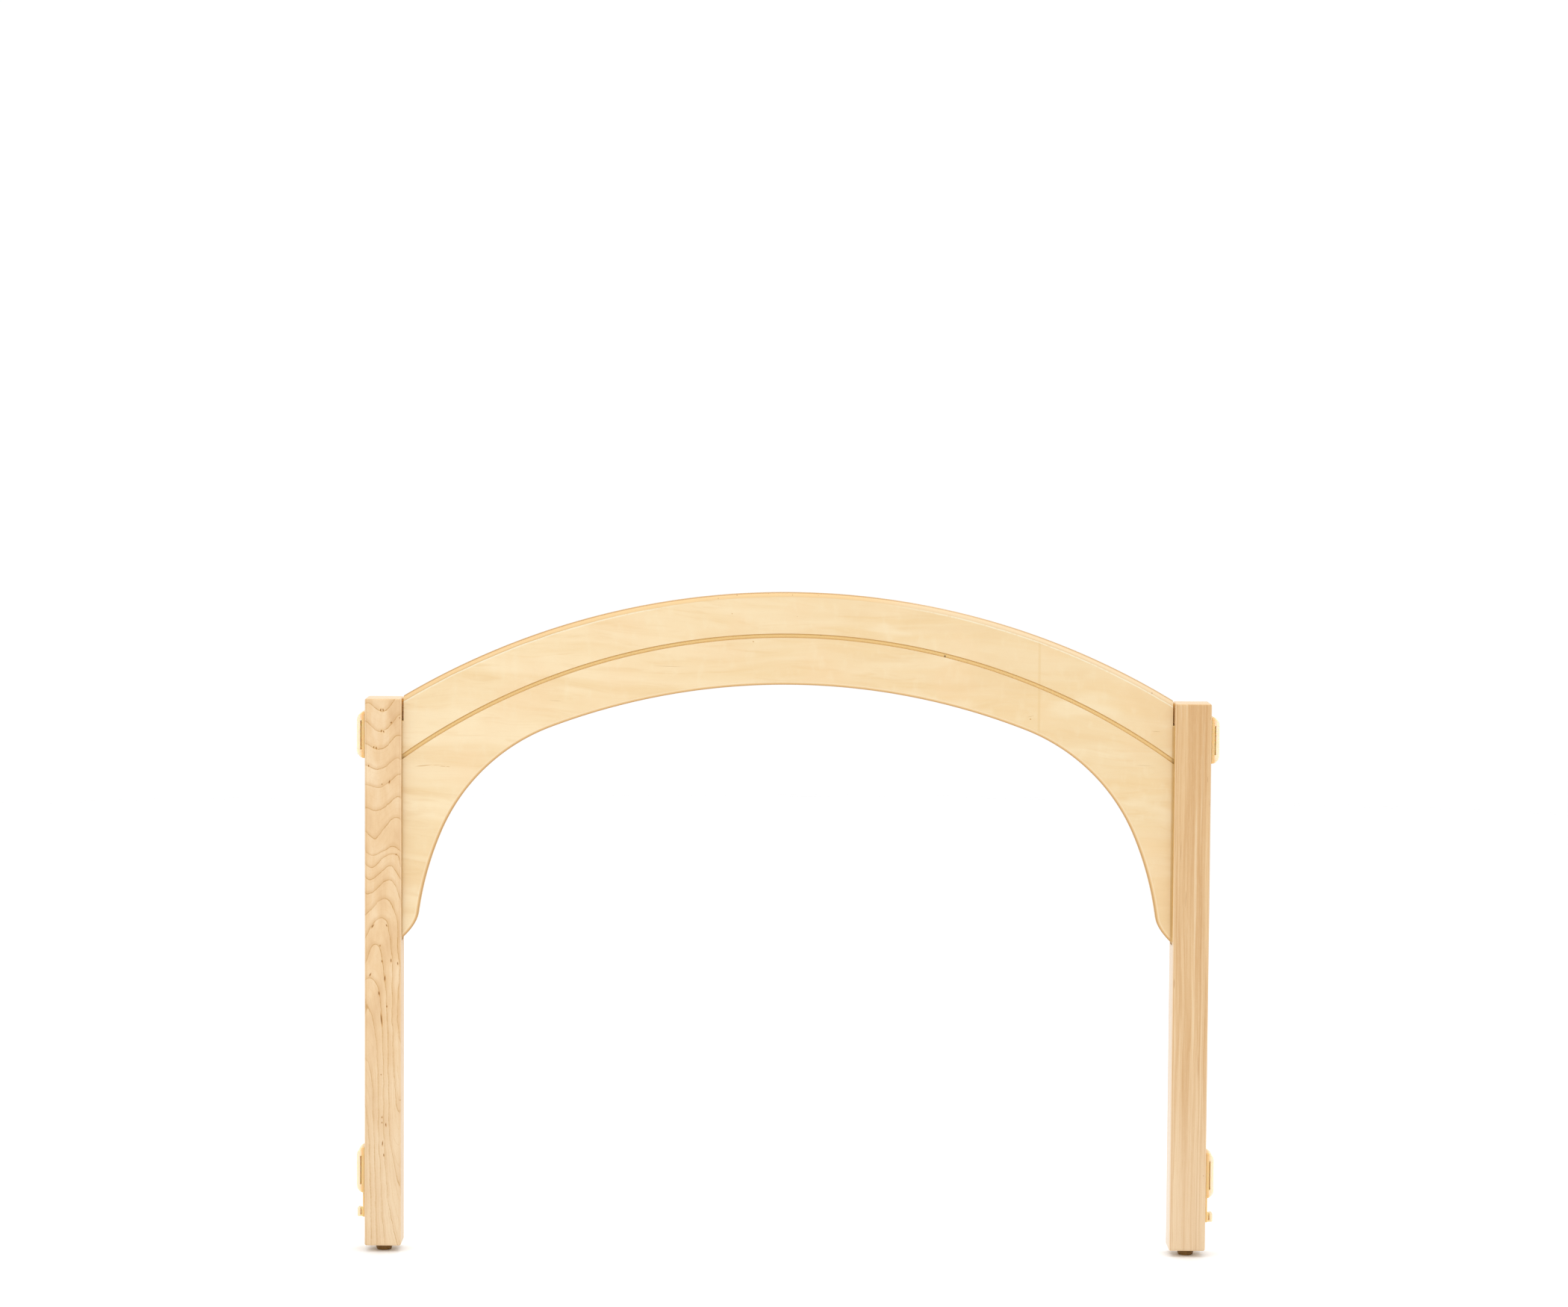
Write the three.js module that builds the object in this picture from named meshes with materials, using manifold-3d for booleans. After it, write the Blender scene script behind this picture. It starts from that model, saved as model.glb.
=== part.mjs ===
// Low free-standing room-divider arch.
//
// Two square solid maple posts carry a birch plywood arch panel that is housed
// in stopped grooves in the posts' inner faces. Moulded connectors are screwed
// to the posts' outer faces, so that the next panel of a divider row can be
// hooked on at either side. Each post stands on a screw-in levelling glide.
//
// Units are millimetres. +X runs along the width, +Y through the thickness
// (away from the front face), +Z up. The origin is on the floor, midway
// between the posts.

import * as THREE from 'three';
import { mergeVertices } from 'three/addons/utils/BufferGeometryUtils.js';
import { RoundedBoxGeometry } from 'three/addons/geometries/RoundedBoxGeometry.js';
import Module from 'manifold-3d';

const wasm = await Module();
wasm.setup();

// ---------------------------------------------------------------- dimensions

const GAP = 0.3;                  // clearance left between touching pieces

// posts
const OVERALL_WIDTH = 914.4;      // outer face to outer face of the posts
const POST_SIDE = 39.5;           // square section
const POST_LENGTH = 596.9;
const POST_EASE = 2.0;            // rounding of every post edge
const POST_BASE_Z = 7.0;          // height of the glide under each post

// arch panel
const PANEL_THICKNESS = 18.0;
const PANEL_TOP_Z = 720.8;        // crown of the outer curve
const OUTER_RADIUS = 812.6;
const EDGE_ROUND = 4.2;           // round-over along both curved edges
const CROWN_UNDER_Z = 620.7;      // crown of the opening
const CROWN_RADIUS = 718.0;       // opening: flat middle arc,
const CROWN_ANGLE = 20.94;        //   half angle in degrees
const HAUNCH_RADIUS = 211.2;      // opening: tight haunch arcs,
const HAUNCH_ANGLE = 67.0;        //   angle from vertical where they end
const LEG_RADIUS = 348.1;         // opening: long arcs running down the posts
const LEG_END_Z = 371.0;          // where the legs start to round out to the tip
const TIP_Z = 342.2;              // foot of the panel at the post

// decorative groove routed in both faces of the panel
const ROUT_RADIUS = 718.2;
const ROUT_CENTRE_Z = -44.1;
const ROUT_WIDTH = 4.0;
const ROUT_DEPTH = 2.4;

// housing of the panel in the posts
const HOUSING_DEPTH = 8.0;
const HOUSING_WIDTH = PANEL_THICKNESS + 2 * GAP;
const HOUSING_LOW_Z = 340.0;
const HOUSING_HIGH_Z = 581.0;
const TONGUE_LENGTH = 7.5;
const SHOULDER_Z = 579.2;         // above this the panel stands clear of the post
const SHOULDER_GAP = 1.6;

// connectors
const UPPER_CONNECTOR_Z = 563.8;  // centre heights of the connector bodies
const LOWER_CONNECTOR_Z = 89.0;
const CONNECTOR_PROUD = 9.0;
const CONNECTOR_HEIGHT = 50.4;
const CONNECTOR_DEPTH = 28.0;
const CONNECTOR_ROUND = 9.0;
const SLOT_FROM = 3.8;            // undercut slot behind the head flange
const SLOT_WIDTH = 1.4;
const SLOT_HEIGHT = 31.5;
const NECK_DEPTH = 18.0;          // web left between the two slots
const PLATE_PROUD = 2.6;          // tail plate of the lower connectors
const PLATE_DEPTH = 20.0;
const PLATE_LOW_Z = 37.0;
const PEG_LOW_Z = 36.6;           // slotted peg at the foot of the tail plate
const PEG_HIGH_Z = 46.2;
const PEG_DEPTH = 12.0;
const PEG_SLIT_FROM = 4.3;        // its slots, open at the top
const PEG_SLIT_WIDTH = 1.3;
const PEG_SLIT_LOW_Z = 38.6;
const PEG_NECK_DEPTH = 4.4;

// connector screws
const SCREW_OFFSET_Z = 11.0;      // above and below the connector's centre
const SCREW_HEAD_R = 3.9;
const SCREW_SHANK_R = 2.1;
const SCREW_HEAD_DEPTH = 2.4;
const SCREW_LENGTH = 29.0;

// levelling glides
const GLIDE_R = 9.1;
const GLIDE_BOTTOM_R = 7.2;
const GLIDE_HEIGHT = 6.7;
const STEM_R = 4.0;
const STEM_TOP_Z = 40.0;
const STEM_SEAT_Z = 3.3;
const INSERT_R = 6.2;
const INSERT_CORE_R = 5.5;
const INSERT_BORE_R = 4.08;
const INSERT_LENGTH = 18.0;

// ------------------------------------------------------------------- helpers

const rad = THREE.MathUtils.degToRad;
const POST_OUTER = OVERALL_WIDTH / 2;
const POST_INNER = POST_OUTER - POST_SIDE;
const POST_AXIS = POST_OUTER - POST_SIDE / 2;

function solid(geometry) {
  const bare = geometry.clone();
  bare.deleteAttribute('normal');
  bare.deleteAttribute('uv');
  const merged = mergeVertices(bare, 1e-4);
  return new wasm.Manifold(new wasm.Mesh({
    numProp: 3,
    vertProperties: new Float32Array(merged.attributes.position.array),
    triVerts: new Uint32Array(merged.index.array),
  }));
}

function toGeometry(body) {
  const mesh = body.getMesh();
  const geometry = new THREE.BufferGeometry();
  geometry.setAttribute('position', new THREE.BufferAttribute(new Float32Array(mesh.vertProperties), 3));
  geometry.setIndex(new THREE.BufferAttribute(new Uint32Array(mesh.triVerts), 1));
  geometry.computeVertexNormals();
  return geometry;
}

function box(x0, x1, y0, y1, z0, z1) {
  const g = new THREE.BoxGeometry(x1 - x0, y1 - y0, z1 - z0);
  g.translate((x0 + x1) / 2, (y0 + y1) / 2, (z0 + z1) / 2);
  return g;
}

// Extrudes an outline drawn in the X-Z plane through the thickness, y0 to y1.
function slab(points, y0, y1, round = 0, roundSegments = 3) {
  const shape = new THREE.Shape(points);
  const g = new THREE.ExtrudeGeometry(shape, {
    depth: y1 - y0 - 2 * round,
    bevelEnabled: round > 0,
    bevelThickness: round,
    bevelSize: round,
    bevelOffset: -round,
    bevelSegments: roundSegments,
    curveSegments: 1,
  });
  g.rotateX(Math.PI / 2);
  g.translate(0, y1 - round, 0);
  return g;
}

// Points of an arc in the X-Z plane; angles in degrees from +Z towards +X.
function arc(cx, cz, r, from, to, steps) {
  const points = [];
  for (let i = 0; i <= steps; i += 1) {
    const a = rad(from + (to - from) * i / steps);
    points.push(new THREE.Vector2(cx + r * Math.sin(a), cz + r * Math.cos(a)));
  }
  return points;
}

const mirrored = (points) => points.map((p) => new THREE.Vector2(-p.x, p.y)).reverse();

// A turned piece about +Z. The profile runs in [radius, height] pairs.
function turned(profile, segments) {
  return new THREE.LatheGeometry(profile.map(([r, z]) => new THREE.Vector2(r, z)), segments).rotateX(Math.PI / 2);
}

function finish(color, roughness, metalness) {
  return new THREE.MeshStandardMaterial({ color, roughness, metalness });
}

const arch = new THREE.Group();
arch.name = 'room_divider_arch';

function place(parent, name, body, material) {
  const geometry = body instanceof THREE.BufferGeometry ? body : toGeometry(body);
  const mesh = new THREE.Mesh(geometry, material);
  mesh.name = name;
  parent.add(mesh);
  return mesh;
}

const MAPLE_LEFT = finish(0xf0cfa4, 0.42, 0);
const MAPLE_RIGHT = finish(0xeac79b, 0.42, 0);
const BIRCH = finish(0xf6dfb2, 0.4, 0);
const CREAM = finish(0xf7e0bb, 0.45, 0);
const BROWN = finish(0x6e4b14, 0.5, 0);
const ZINC = finish(0xb9bcc0, 0.35, 1);

// --------------------------------------------------------------------- posts
// Each post is drawn about its own axis with the housing facing +X.

function post() {
  const blank = new RoundedBoxGeometry(POST_SIDE, POST_SIDE, POST_LENGTH, 2, POST_EASE);
  blank.translate(0, 0, POST_BASE_Z + POST_LENGTH / 2);
  let body = solid(blank);
  const face = POST_SIDE / 2;
  body = body.subtract(solid(box(face - HOUSING_DEPTH, face + 1,
    -HOUSING_WIDTH / 2, HOUSING_WIDTH / 2, HOUSING_LOW_Z, HOUSING_HIGH_Z)));
  // stepped bore for the threaded insert and the stem above it
  const bore = new THREE.CylinderGeometry(INSERT_R + GAP, INSERT_R + GAP, INSERT_LENGTH + 2, 32)
    .rotateX(Math.PI / 2).translate(0, 0, POST_BASE_Z + INSERT_LENGTH / 2);
  body = body.subtract(solid(bore));
  const stemRoom = new THREE.CylinderGeometry(STEM_R + 0.6, STEM_R + 0.6, 40, 32)
    .rotateX(Math.PI / 2).translate(0, 0, POST_BASE_Z + 20);
  body = body.subtract(solid(stemRoom));
  // pilot holes for the connector screws, from the outer face
  for (const z of [UPPER_CONNECTOR_Z, LOWER_CONNECTOR_Z]) {
    for (const dz of [-SCREW_OFFSET_Z, SCREW_OFFSET_Z]) {
      const depth = SCREW_LENGTH - CONNECTOR_PROUD + 1;
      const hole = new THREE.CylinderGeometry(SCREW_SHANK_R + GAP, SCREW_SHANK_R + GAP, depth + 2, 20)
        .rotateZ(Math.PI / 2).translate(-face + depth / 2 - 1, 0, z + dz);
      body = body.subtract(solid(hole));
    }
  }
  return toGeometry(body);
}

const leftSide = new THREE.Group();
leftSide.position.x = -POST_AXIS;
const rightSide = new THREE.Group();
rightSide.position.x = POST_AXIS;
rightSide.rotation.z = Math.PI;
arch.add(leftSide, rightSide);

place(leftSide, 'left_post', post(), MAPLE_LEFT);
place(rightSide, 'right_post', post(), MAPLE_RIGHT);

// ---------------------------------------------------------------- arch panel

function panelOutline() {
  const far = POST_INNER + 30;                       // trimmed to the tongue later
  const outerCentre = PANEL_TOP_Z - OUTER_RADIUS;
  const sweep = THREE.MathUtils.radToDeg(Math.asin(far / OUTER_RADIUS));
  const outer = arc(0, outerCentre, OUTER_RADIUS, -sweep, sweep, 64);

  const unit = (deg) => new THREE.Vector2(Math.sin(rad(deg)), Math.cos(rad(deg)));
  const c1 = new THREE.Vector2(0, CROWN_UNDER_Z - CROWN_RADIUS);
  const p1 = c1.clone().addScaledVector(unit(CROWN_ANGLE), CROWN_RADIUS);
  const c2 = p1.clone().addScaledVector(unit(CROWN_ANGLE), -HAUNCH_RADIUS);
  const p2 = c2.clone().addScaledVector(unit(HAUNCH_ANGLE), HAUNCH_RADIUS);
  const c3 = p2.clone().addScaledVector(unit(HAUNCH_ANGLE), -LEG_RADIUS);
  const legEnd = THREE.MathUtils.radToDeg(Math.acos((LEG_END_Z - c3.y) / LEG_RADIUS));
  const p3 = c3.clone().addScaledVector(unit(legEnd), LEG_RADIUS);
  const along = new THREE.Vector2(Math.cos(rad(legEnd)), -Math.sin(rad(legEnd)));
  const tip = new THREE.Vector2(POST_INNER, TIP_Z);
  const tail = new THREE.CubicBezierCurve(
    p3, p3.clone().addScaledVector(along, 12), tip.clone().add(new THREE.Vector2(-8.3, 8.0)), tip,
  ).getPoints(8);

  const half = [
    ...arc(c1.x, c1.y, CROWN_RADIUS, 0, CROWN_ANGLE, 16),
    ...arc(c2.x, c2.y, HAUNCH_RADIUS, CROWN_ANGLE, HAUNCH_ANGLE, 14).slice(1),
    ...arc(c3.x, c3.y, LEG_RADIUS, HAUNCH_ANGLE, legEnd, 5).slice(1),
    ...tail.slice(1),
    new THREE.Vector2(far, TIP_Z),
  ];
  return [...outer, ...[...half].reverse(), ...mirrored(half).reverse().slice(1)];
}

function archPanel() {
  const t = PANEL_THICKNESS / 2;
  let body = solid(slab(panelOutline(), -t, t, EDGE_ROUND, 3));
  const end = POST_INNER + TONGUE_LENGTH;
  body = body.intersect(solid(box(-end, end, -t - 5, t + 5, 200, 800)));
  const shoulder = POST_INNER - SHOULDER_GAP;
  body = body.subtract(solid(box(shoulder, end + 5, -t - 5, t + 5, SHOULDER_Z, 700)));
  body = body.subtract(solid(box(-end - 5, -shoulder, -t - 5, t + 5, SHOULDER_Z, 700)));
  // routed line on each face
  const half = ROUT_WIDTH / 2;
  const line = [
    ...arc(0, ROUT_CENTRE_Z, ROUT_RADIUS + half, -40, 40, 60),
    ...arc(0, ROUT_CENTRE_Z, ROUT_RADIUS - half, 40, -40, 60),
  ];
  body = body.subtract(solid(slab(line, -t - 2, -t + ROUT_DEPTH)));
  body = body.subtract(solid(slab(line, t - ROUT_DEPTH, t + 2)));
  return body;
}

place(arch, 'arch_panel', archPanel(), BIRCH);

// ---------------------------------------------------------------- connectors
// Drawn beside the post's outer face: the face is x = 0 and the connector
// grows towards -X, with z = 0 at the centre of its body.

function connectorBody() {
  const h = CONNECTOR_HEIGHT / 2;
  const r = CONNECTOR_ROUND - GAP;
  const outline = [
    ...arc(-GAP, h - r, r, 0, -90, 8),
    ...arc(-GAP, -h + r, r, -90, -180, 8),
  ];
  let body = solid(slab(outline, -CONNECTOR_DEPTH / 2, CONNECTOR_DEPTH / 2, 1.0, 2));
  const s0 = -SLOT_FROM - SLOT_WIDTH;
  const s1 = -SLOT_FROM;
  const far = CONNECTOR_DEPTH / 2 + 2;
  body = body.subtract(solid(box(s0, s1, -far, -NECK_DEPTH / 2, -SLOT_HEIGHT / 2, SLOT_HEIGHT / 2)));
  body = body.subtract(solid(box(s0, s1, NECK_DEPTH / 2, far, -SLOT_HEIGHT / 2, SLOT_HEIGHT / 2)));
  return body;
}

function tailWithPeg() {
  const top = -CONNECTOR_HEIGHT / 2 + 6;
  const low = PLATE_LOW_Z - LOWER_CONNECTOR_Z;
  const plate = solid(box(-PLATE_PROUD, -GAP, -PLATE_DEPTH / 2, PLATE_DEPTH / 2, low, top));
  const foot = PEG_LOW_Z - LOWER_CONNECTOR_Z;
  const head = PEG_HIGH_Z - LOWER_CONNECTOR_Z;
  let peg = solid(box(-CONNECTOR_PROUD, -GAP, -PEG_DEPTH / 2, PEG_DEPTH / 2, foot, head));
  const s0 = -PEG_SLIT_FROM - PEG_SLIT_WIDTH;
  const s1 = -PEG_SLIT_FROM;
  const web = PEG_NECK_DEPTH / 2;
  const far = PEG_DEPTH / 2 + 2;
  const floor = PEG_SLIT_LOW_Z - LOWER_CONNECTOR_Z;
  peg = peg.subtract(solid(box(s0, s1, -far, -web, floor, head + 2)));
  peg = peg.subtract(solid(box(s0, s1, web, far, floor, head + 2)));
  return plate.add(peg);
}

function connector(withTail) {
  let body = connectorBody();
  if (withTail) body = body.add(tailWithPeg());
  for (const dz of [-SCREW_OFFSET_Z, SCREW_OFFSET_Z]) {
    const sink = turned([
      [0, -30], [SCREW_SHANK_R + GAP, -30], [SCREW_SHANK_R + GAP, -SCREW_HEAD_DEPTH - 0.4],
      [SCREW_HEAD_R + GAP, -0.4], [SCREW_HEAD_R + GAP, 2], [0, 2],
    ], 24).rotateY(-Math.PI / 2).translate(-CONNECTOR_PROUD, 0, dz);
    body = body.subtract(solid(sink));
  }
  return toGeometry(body);
}

// Countersunk screw, head towards -X, its face a little below the connector's.
function connectorScrew() {
  const r = SCREW_SHANK_R;
  const L = SCREW_LENGTH;
  let body = solid(turned([
    [0, -L], [0.5, -L + 0.6], [r, -L + 4.5], [r, -SCREW_HEAD_DEPTH], [SCREW_HEAD_R, -0.25], [SCREW_HEAD_R, 0], [0, 0],
  ], 24));
  body = body.subtract(solid(box(-2.2, 2.2, -0.45, 0.45, -1.8, 1)));
  body = body.subtract(solid(box(-0.45, 0.45, -2.2, 2.2, -1.8, 1)));
  return toGeometry(body).rotateY(-Math.PI / 2);
}

for (const [side, group] of [['left', leftSide], ['right', rightSide]]) {
  for (const [level, z] of [['upper', UPPER_CONNECTOR_Z], ['lower', LOWER_CONNECTOR_Z]]) {
    const seat = new THREE.Group();
    seat.position.set(-POST_SIDE / 2, 0, z);
    group.add(seat);
    place(seat, `${side}_${level}_connector`, connector(level === 'lower'), CREAM);
    for (const [end, dz] of [['top', SCREW_OFFSET_Z], ['bottom', -SCREW_OFFSET_Z]]) {
      const screw = place(seat, `${side}_${level}_screw_${end}`, connectorScrew(), ZINC);
      screw.position.set(-CONNECTOR_PROUD + 0.15, 0, dz);
    }
  }
}

// ---------------------------------------------------- levelling glides, insert

function glide() {
  let body = solid(turned([
    [0, 0], [GLIDE_BOTTOM_R, 0], [GLIDE_BOTTOM_R + 0.9, 0.35], [GLIDE_R - 0.45, 1.3], [GLIDE_R - 0.1, 2.6],
    [GLIDE_R, 4.2], [GLIDE_R, GLIDE_HEIGHT - 0.4], [GLIDE_R - 0.4, GLIDE_HEIGHT], [0, GLIDE_HEIGHT],
  ], 48));
  const seat = new THREE.CylinderGeometry(STEM_R + GAP, STEM_R + GAP, 10, 32)
    .rotateX(Math.PI / 2).translate(0, 0, STEM_SEAT_Z - GAP + 5);
  body = body.subtract(solid(seat));
  return toGeometry(body);
}

function stem() {
  return turned([
    [0, STEM_SEAT_Z], [STEM_R - 0.4, STEM_SEAT_Z], [STEM_R, STEM_SEAT_Z + 0.4],
    [STEM_R, STEM_TOP_Z - 0.8], [STEM_R - 0.8, STEM_TOP_Z], [0, STEM_TOP_Z],
  ], 24);
}

// The insert has a coarse outer thread, drawn as rings, and a clear bore.
function insert() {
  const z0 = POST_BASE_Z + 0.2;
  const profile = [[INSERT_BORE_R, z0], [INSERT_R, z0], [INSERT_R, z0 + 1.4]];
  for (let z = z0 + 2.2; z + 2.4 < z0 + INSERT_LENGTH; z += 5.0) {
    profile.push([INSERT_CORE_R, z], [INSERT_R, z + 1.0], [INSERT_R, z + 1.4], [INSERT_CORE_R, z + 2.4]);
  }
  profile.push([INSERT_CORE_R, z0 + INSERT_LENGTH - 0.6], [INSERT_BORE_R, z0 + INSERT_LENGTH - 0.6], [INSERT_BORE_R, z0]);
  return turned(profile, 24);
}

for (const [side, group] of [['left', leftSide], ['right', rightSide]]) {
  place(group, `${side}_glide`, glide(), BROWN);
  place(group, `${side}_glide_stem`, stem(), ZINC);
  place(group, `${side}_threaded_insert`, insert(), ZINC);
}

export default arch;
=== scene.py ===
"""Looks for the low room-divider arch: two maple posts, a birch plywood arch
panel, four moulded connectors with their screws, and two levelling glides.

Every length below is in millimetres in the frame of the CAD model and is
turned into metres when a mesh is made."""

import math

import bmesh
import bpy
import numpy as np
from mathutils import Matrix, Vector


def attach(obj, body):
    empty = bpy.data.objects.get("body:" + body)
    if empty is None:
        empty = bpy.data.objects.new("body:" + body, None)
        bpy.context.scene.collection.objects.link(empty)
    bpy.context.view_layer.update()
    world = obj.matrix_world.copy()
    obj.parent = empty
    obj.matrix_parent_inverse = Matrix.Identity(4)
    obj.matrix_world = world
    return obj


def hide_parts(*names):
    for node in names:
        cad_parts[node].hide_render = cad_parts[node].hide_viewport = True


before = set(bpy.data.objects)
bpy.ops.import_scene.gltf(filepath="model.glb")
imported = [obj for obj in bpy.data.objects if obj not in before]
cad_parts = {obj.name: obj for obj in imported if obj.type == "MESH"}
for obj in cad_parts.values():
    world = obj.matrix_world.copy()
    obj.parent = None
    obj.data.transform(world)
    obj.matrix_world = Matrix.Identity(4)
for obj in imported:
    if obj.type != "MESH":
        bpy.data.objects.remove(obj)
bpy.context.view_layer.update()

MM = 0.001

# ------------------------------------------------------------ driving sizes

POST_OUTER = 457.2
POST_SIDE = 39.5
POST_INNER = POST_OUTER - POST_SIDE
POST_AXIS = POST_OUTER - POST_SIDE / 2
POST_LOW = 7.0
POST_HIGH = 603.9
POST_EASE = 2.3

PANEL_HALF = 9.0
PANEL_TOP = 720.8
OUTER_R = 812.6
EDGE_ROUND = 4.2
CROWN_UNDER = 620.7
CROWN_R, CROWN_A = 718.0, 20.94
HAUNCH_R, HAUNCH_A = 211.2, 67.0
LEG_R, LEG_END = 348.1, 371.0
TIP_Z = 342.2
TONGUE = 7.5
SHOULDER_Z, SHOULDER_GAP = 579.2, 1.6
ROUT_R, ROUT_Z, ROUT_W, ROUT_D = 718.2, -44.1, 4.0, 2.4
HOUSING_DEPTH, HOUSING_HALF = 8.0, 9.3
HOUSING_LOW, HOUSING_HIGH = 340.0, 581.0

UPPER_Z, LOWER_Z = 563.8, 89.0
PROUD = 9.0
BODY_H, BODY_D = 50.4, 28.0
SLOT_U0, SLOT_W, SLOT_H, NECK_D = 3.8, 1.4, 31.5, 18.0
SCREW_DZ = 11.0

GLIDE_R = 9.1
STEM_R = 4.0


# ------------------------------------------------------------ mesh helpers

def link(obj):
    bpy.context.scene.collection.objects.link(obj)
    return obj


def mesh_object(name, verts, faces):
    """An object from points in millimetres."""
    me = bpy.data.meshes.new(name)
    me.from_pydata([(x * MM, y * MM, z * MM) for x, y, z in verts], [], faces)
    me.validate()
    me.update()
    bm = bmesh.new()
    bm.from_mesh(me)
    bmesh.ops.remove_doubles(bm, verts=bm.verts, dist=1e-7)
    bmesh.ops.recalc_face_normals(bm, faces=bm.faces)
    bm.to_mesh(me)
    bm.free()
    return link(bpy.data.objects.new(name, me))


def drop(obj):
    me = obj.data
    bpy.data.objects.remove(obj)
    bpy.data.meshes.remove(me)


def settle(obj):
    """Applies the object's modifiers."""
    dg = bpy.context.evaluated_depsgraph_get()
    dg.update()
    new = bpy.data.meshes.new_from_object(obj.evaluated_get(dg))
    old = obj.data
    obj.modifiers.clear()
    obj.data = new
    bpy.data.meshes.remove(old)
    new.name = obj.name
    return obj


def combine(obj, cutters, operation="DIFFERENCE"):
    for c in cutters:
        m = obj.modifiers.new("cut", "BOOLEAN")
        m.operation = operation
        m.solver = "EXACT"
        m.object = c
    settle(obj)
    for c in cutters:
        drop(c)
    return obj


def soften(obj, width, segments=2, angle=40):
    """Rounds the sharp edges that cuts have left."""
    m = obj.modifiers.new("soften", "BEVEL")
    m.width = width * MM
    m.segments = segments
    m.limit_method = "ANGLE"
    m.angle_limit = math.radians(angle)
    m.harden_normals = False
    m.use_clamp_overlap = True
    return settle(obj)


def tidy(obj, span=0.004):
    """Closes the needle-thin faces that a cut can leave."""
    bm = bmesh.new()
    bm.from_mesh(obj.data)
    bmesh.ops.dissolve_degenerate(bm, edges=list(bm.edges), dist=span * MM)
    bm.to_mesh(obj.data)
    bm.free()
    return obj


def shade(obj, angle=35):
    """Smooth shading with true creases, and flat faces kept flat."""
    me = obj.data
    me.polygons.foreach_set("use_smooth", [True] * len(me.polygons))
    me.set_sharp_from_angle(angle=math.radians(angle))
    m = obj.modifiers.new("weighted", "WEIGHTED_NORMAL")
    m.keep_sharp = True
    m.weight = 80
    return settle(obj)


def rounded_box(name, lo, hi, r, segments=5):
    bm = bmesh.new()
    bmesh.ops.create_cube(bm, size=1.0)
    size = [h - l for l, h in zip(lo, hi)]
    mid = [(h + l) / 2 for l, h in zip(lo, hi)]
    for v in bm.verts:
        v.co = Vector([(v.co[i] * size[i] + mid[i]) * MM for i in range(3)])
    if r > 0:
        bmesh.ops.bevel(bm, geom=list(bm.edges), offset=r * MM, offset_type="OFFSET",
                        segments=segments, profile=0.5, affect="EDGES", clamp_overlap=True)
    me = bpy.data.meshes.new(name)
    bm.to_mesh(me)
    bm.free()
    return link(bpy.data.objects.new(name, me))


def box(name, lo, hi):
    return rounded_box(name, lo, hi, 0)


def slab(name, outline, y0, y1, r=0.0, segments=6, cap=None):
    """A closed outline in the X-Z plane given thickness along Y, with its rims rounded.
    outline(d) gives the outline drawn in by d; cap lists the index faces that fill it,
    and without it each end is one face."""
    rings = []
    for k in range(segments + 1):
        t = math.radians(90 * k / segments)
        rings.append((outline(r * (1 - math.sin(t))), y0 + r * (1 - math.cos(t))))
    rings += [(pts, y0 + y1 - y) for pts, y in reversed(rings)]
    n = len(rings[0][0])
    verts, faces = [], []
    for pts, y in rings:
        verts += [(x, y, z) for x, z in pts]
    for k in range(len(rings) - 1):
        for i in range(n):
            j = (i + 1) % n
            faces.append((k * n + i, k * n + j, (k + 1) * n + j, (k + 1) * n + i))
    last = (len(rings) - 1) * n
    for f in cap or [tuple(range(n))]:
        faces.append(tuple(f)[::-1])
        faces.append(tuple(last + i for i in f))
    return mesh_object(name, verts, faces)


def turned(name, profile, segments=64, closed=False, twist=None):
    """Revolves [radius, height] pairs about +Z. A profile that starts and ends on the
    axis is capped there; a closed one joins its last row to its first. twist(r, z, phi)
    may change a radius, which is how the threads are cut."""
    verts, faces, rows = [], [], []
    for r, z in profile:
        if r < 1e-6:
            rows.append([len(verts)])
            verts.append((0.0, 0.0, z))
            continue
        row = []
        for i in range(segments):
            phi = 2 * math.pi * i / segments
            rr = twist(r, z, phi) if twist else r
            row.append(len(verts))
            verts.append((rr * math.cos(phi), rr * math.sin(phi), z))
        rows.append(row)
    pairs = list(zip(rows, rows[1:])) + ([(rows[-1], rows[0])] if closed else [])
    for a, b in pairs:
        for i in range(segments):
            j = (i + 1) % segments
            if len(a) == 1 and len(b) == 1:
                continue
            if len(a) == 1:
                faces.append((a[0], b[j], b[i]))
            elif len(b) == 1:
                faces.append((a[i], a[j], b[0]))
            else:
                faces.append((a[i], a[j], b[j], b[i]))
    return mesh_object(name, verts, faces)


def mirror_x(obj, name):
    """A mirrored copy across the middle of the arch."""
    me = obj.data.copy()
    me.name = name
    me.transform(Matrix.Scale(-1, 4, (1, 0, 0)))
    me.flip_normals()
    return link(bpy.data.objects.new(name, me))


def move(obj, x, y, z):
    obj.data.transform(Matrix.Translation((x * MM, y * MM, z * MM)))
    return obj


# ------------------------------------------------------------ material helpers

def srgb(r, g, b, a=1.0):
    def lin(c):
        c /= 255.0
        return c / 12.92 if c <= 0.04045 else ((c + 0.055) / 1.055) ** 2.4
    return (lin(r), lin(g), lin(b), a)


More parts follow.
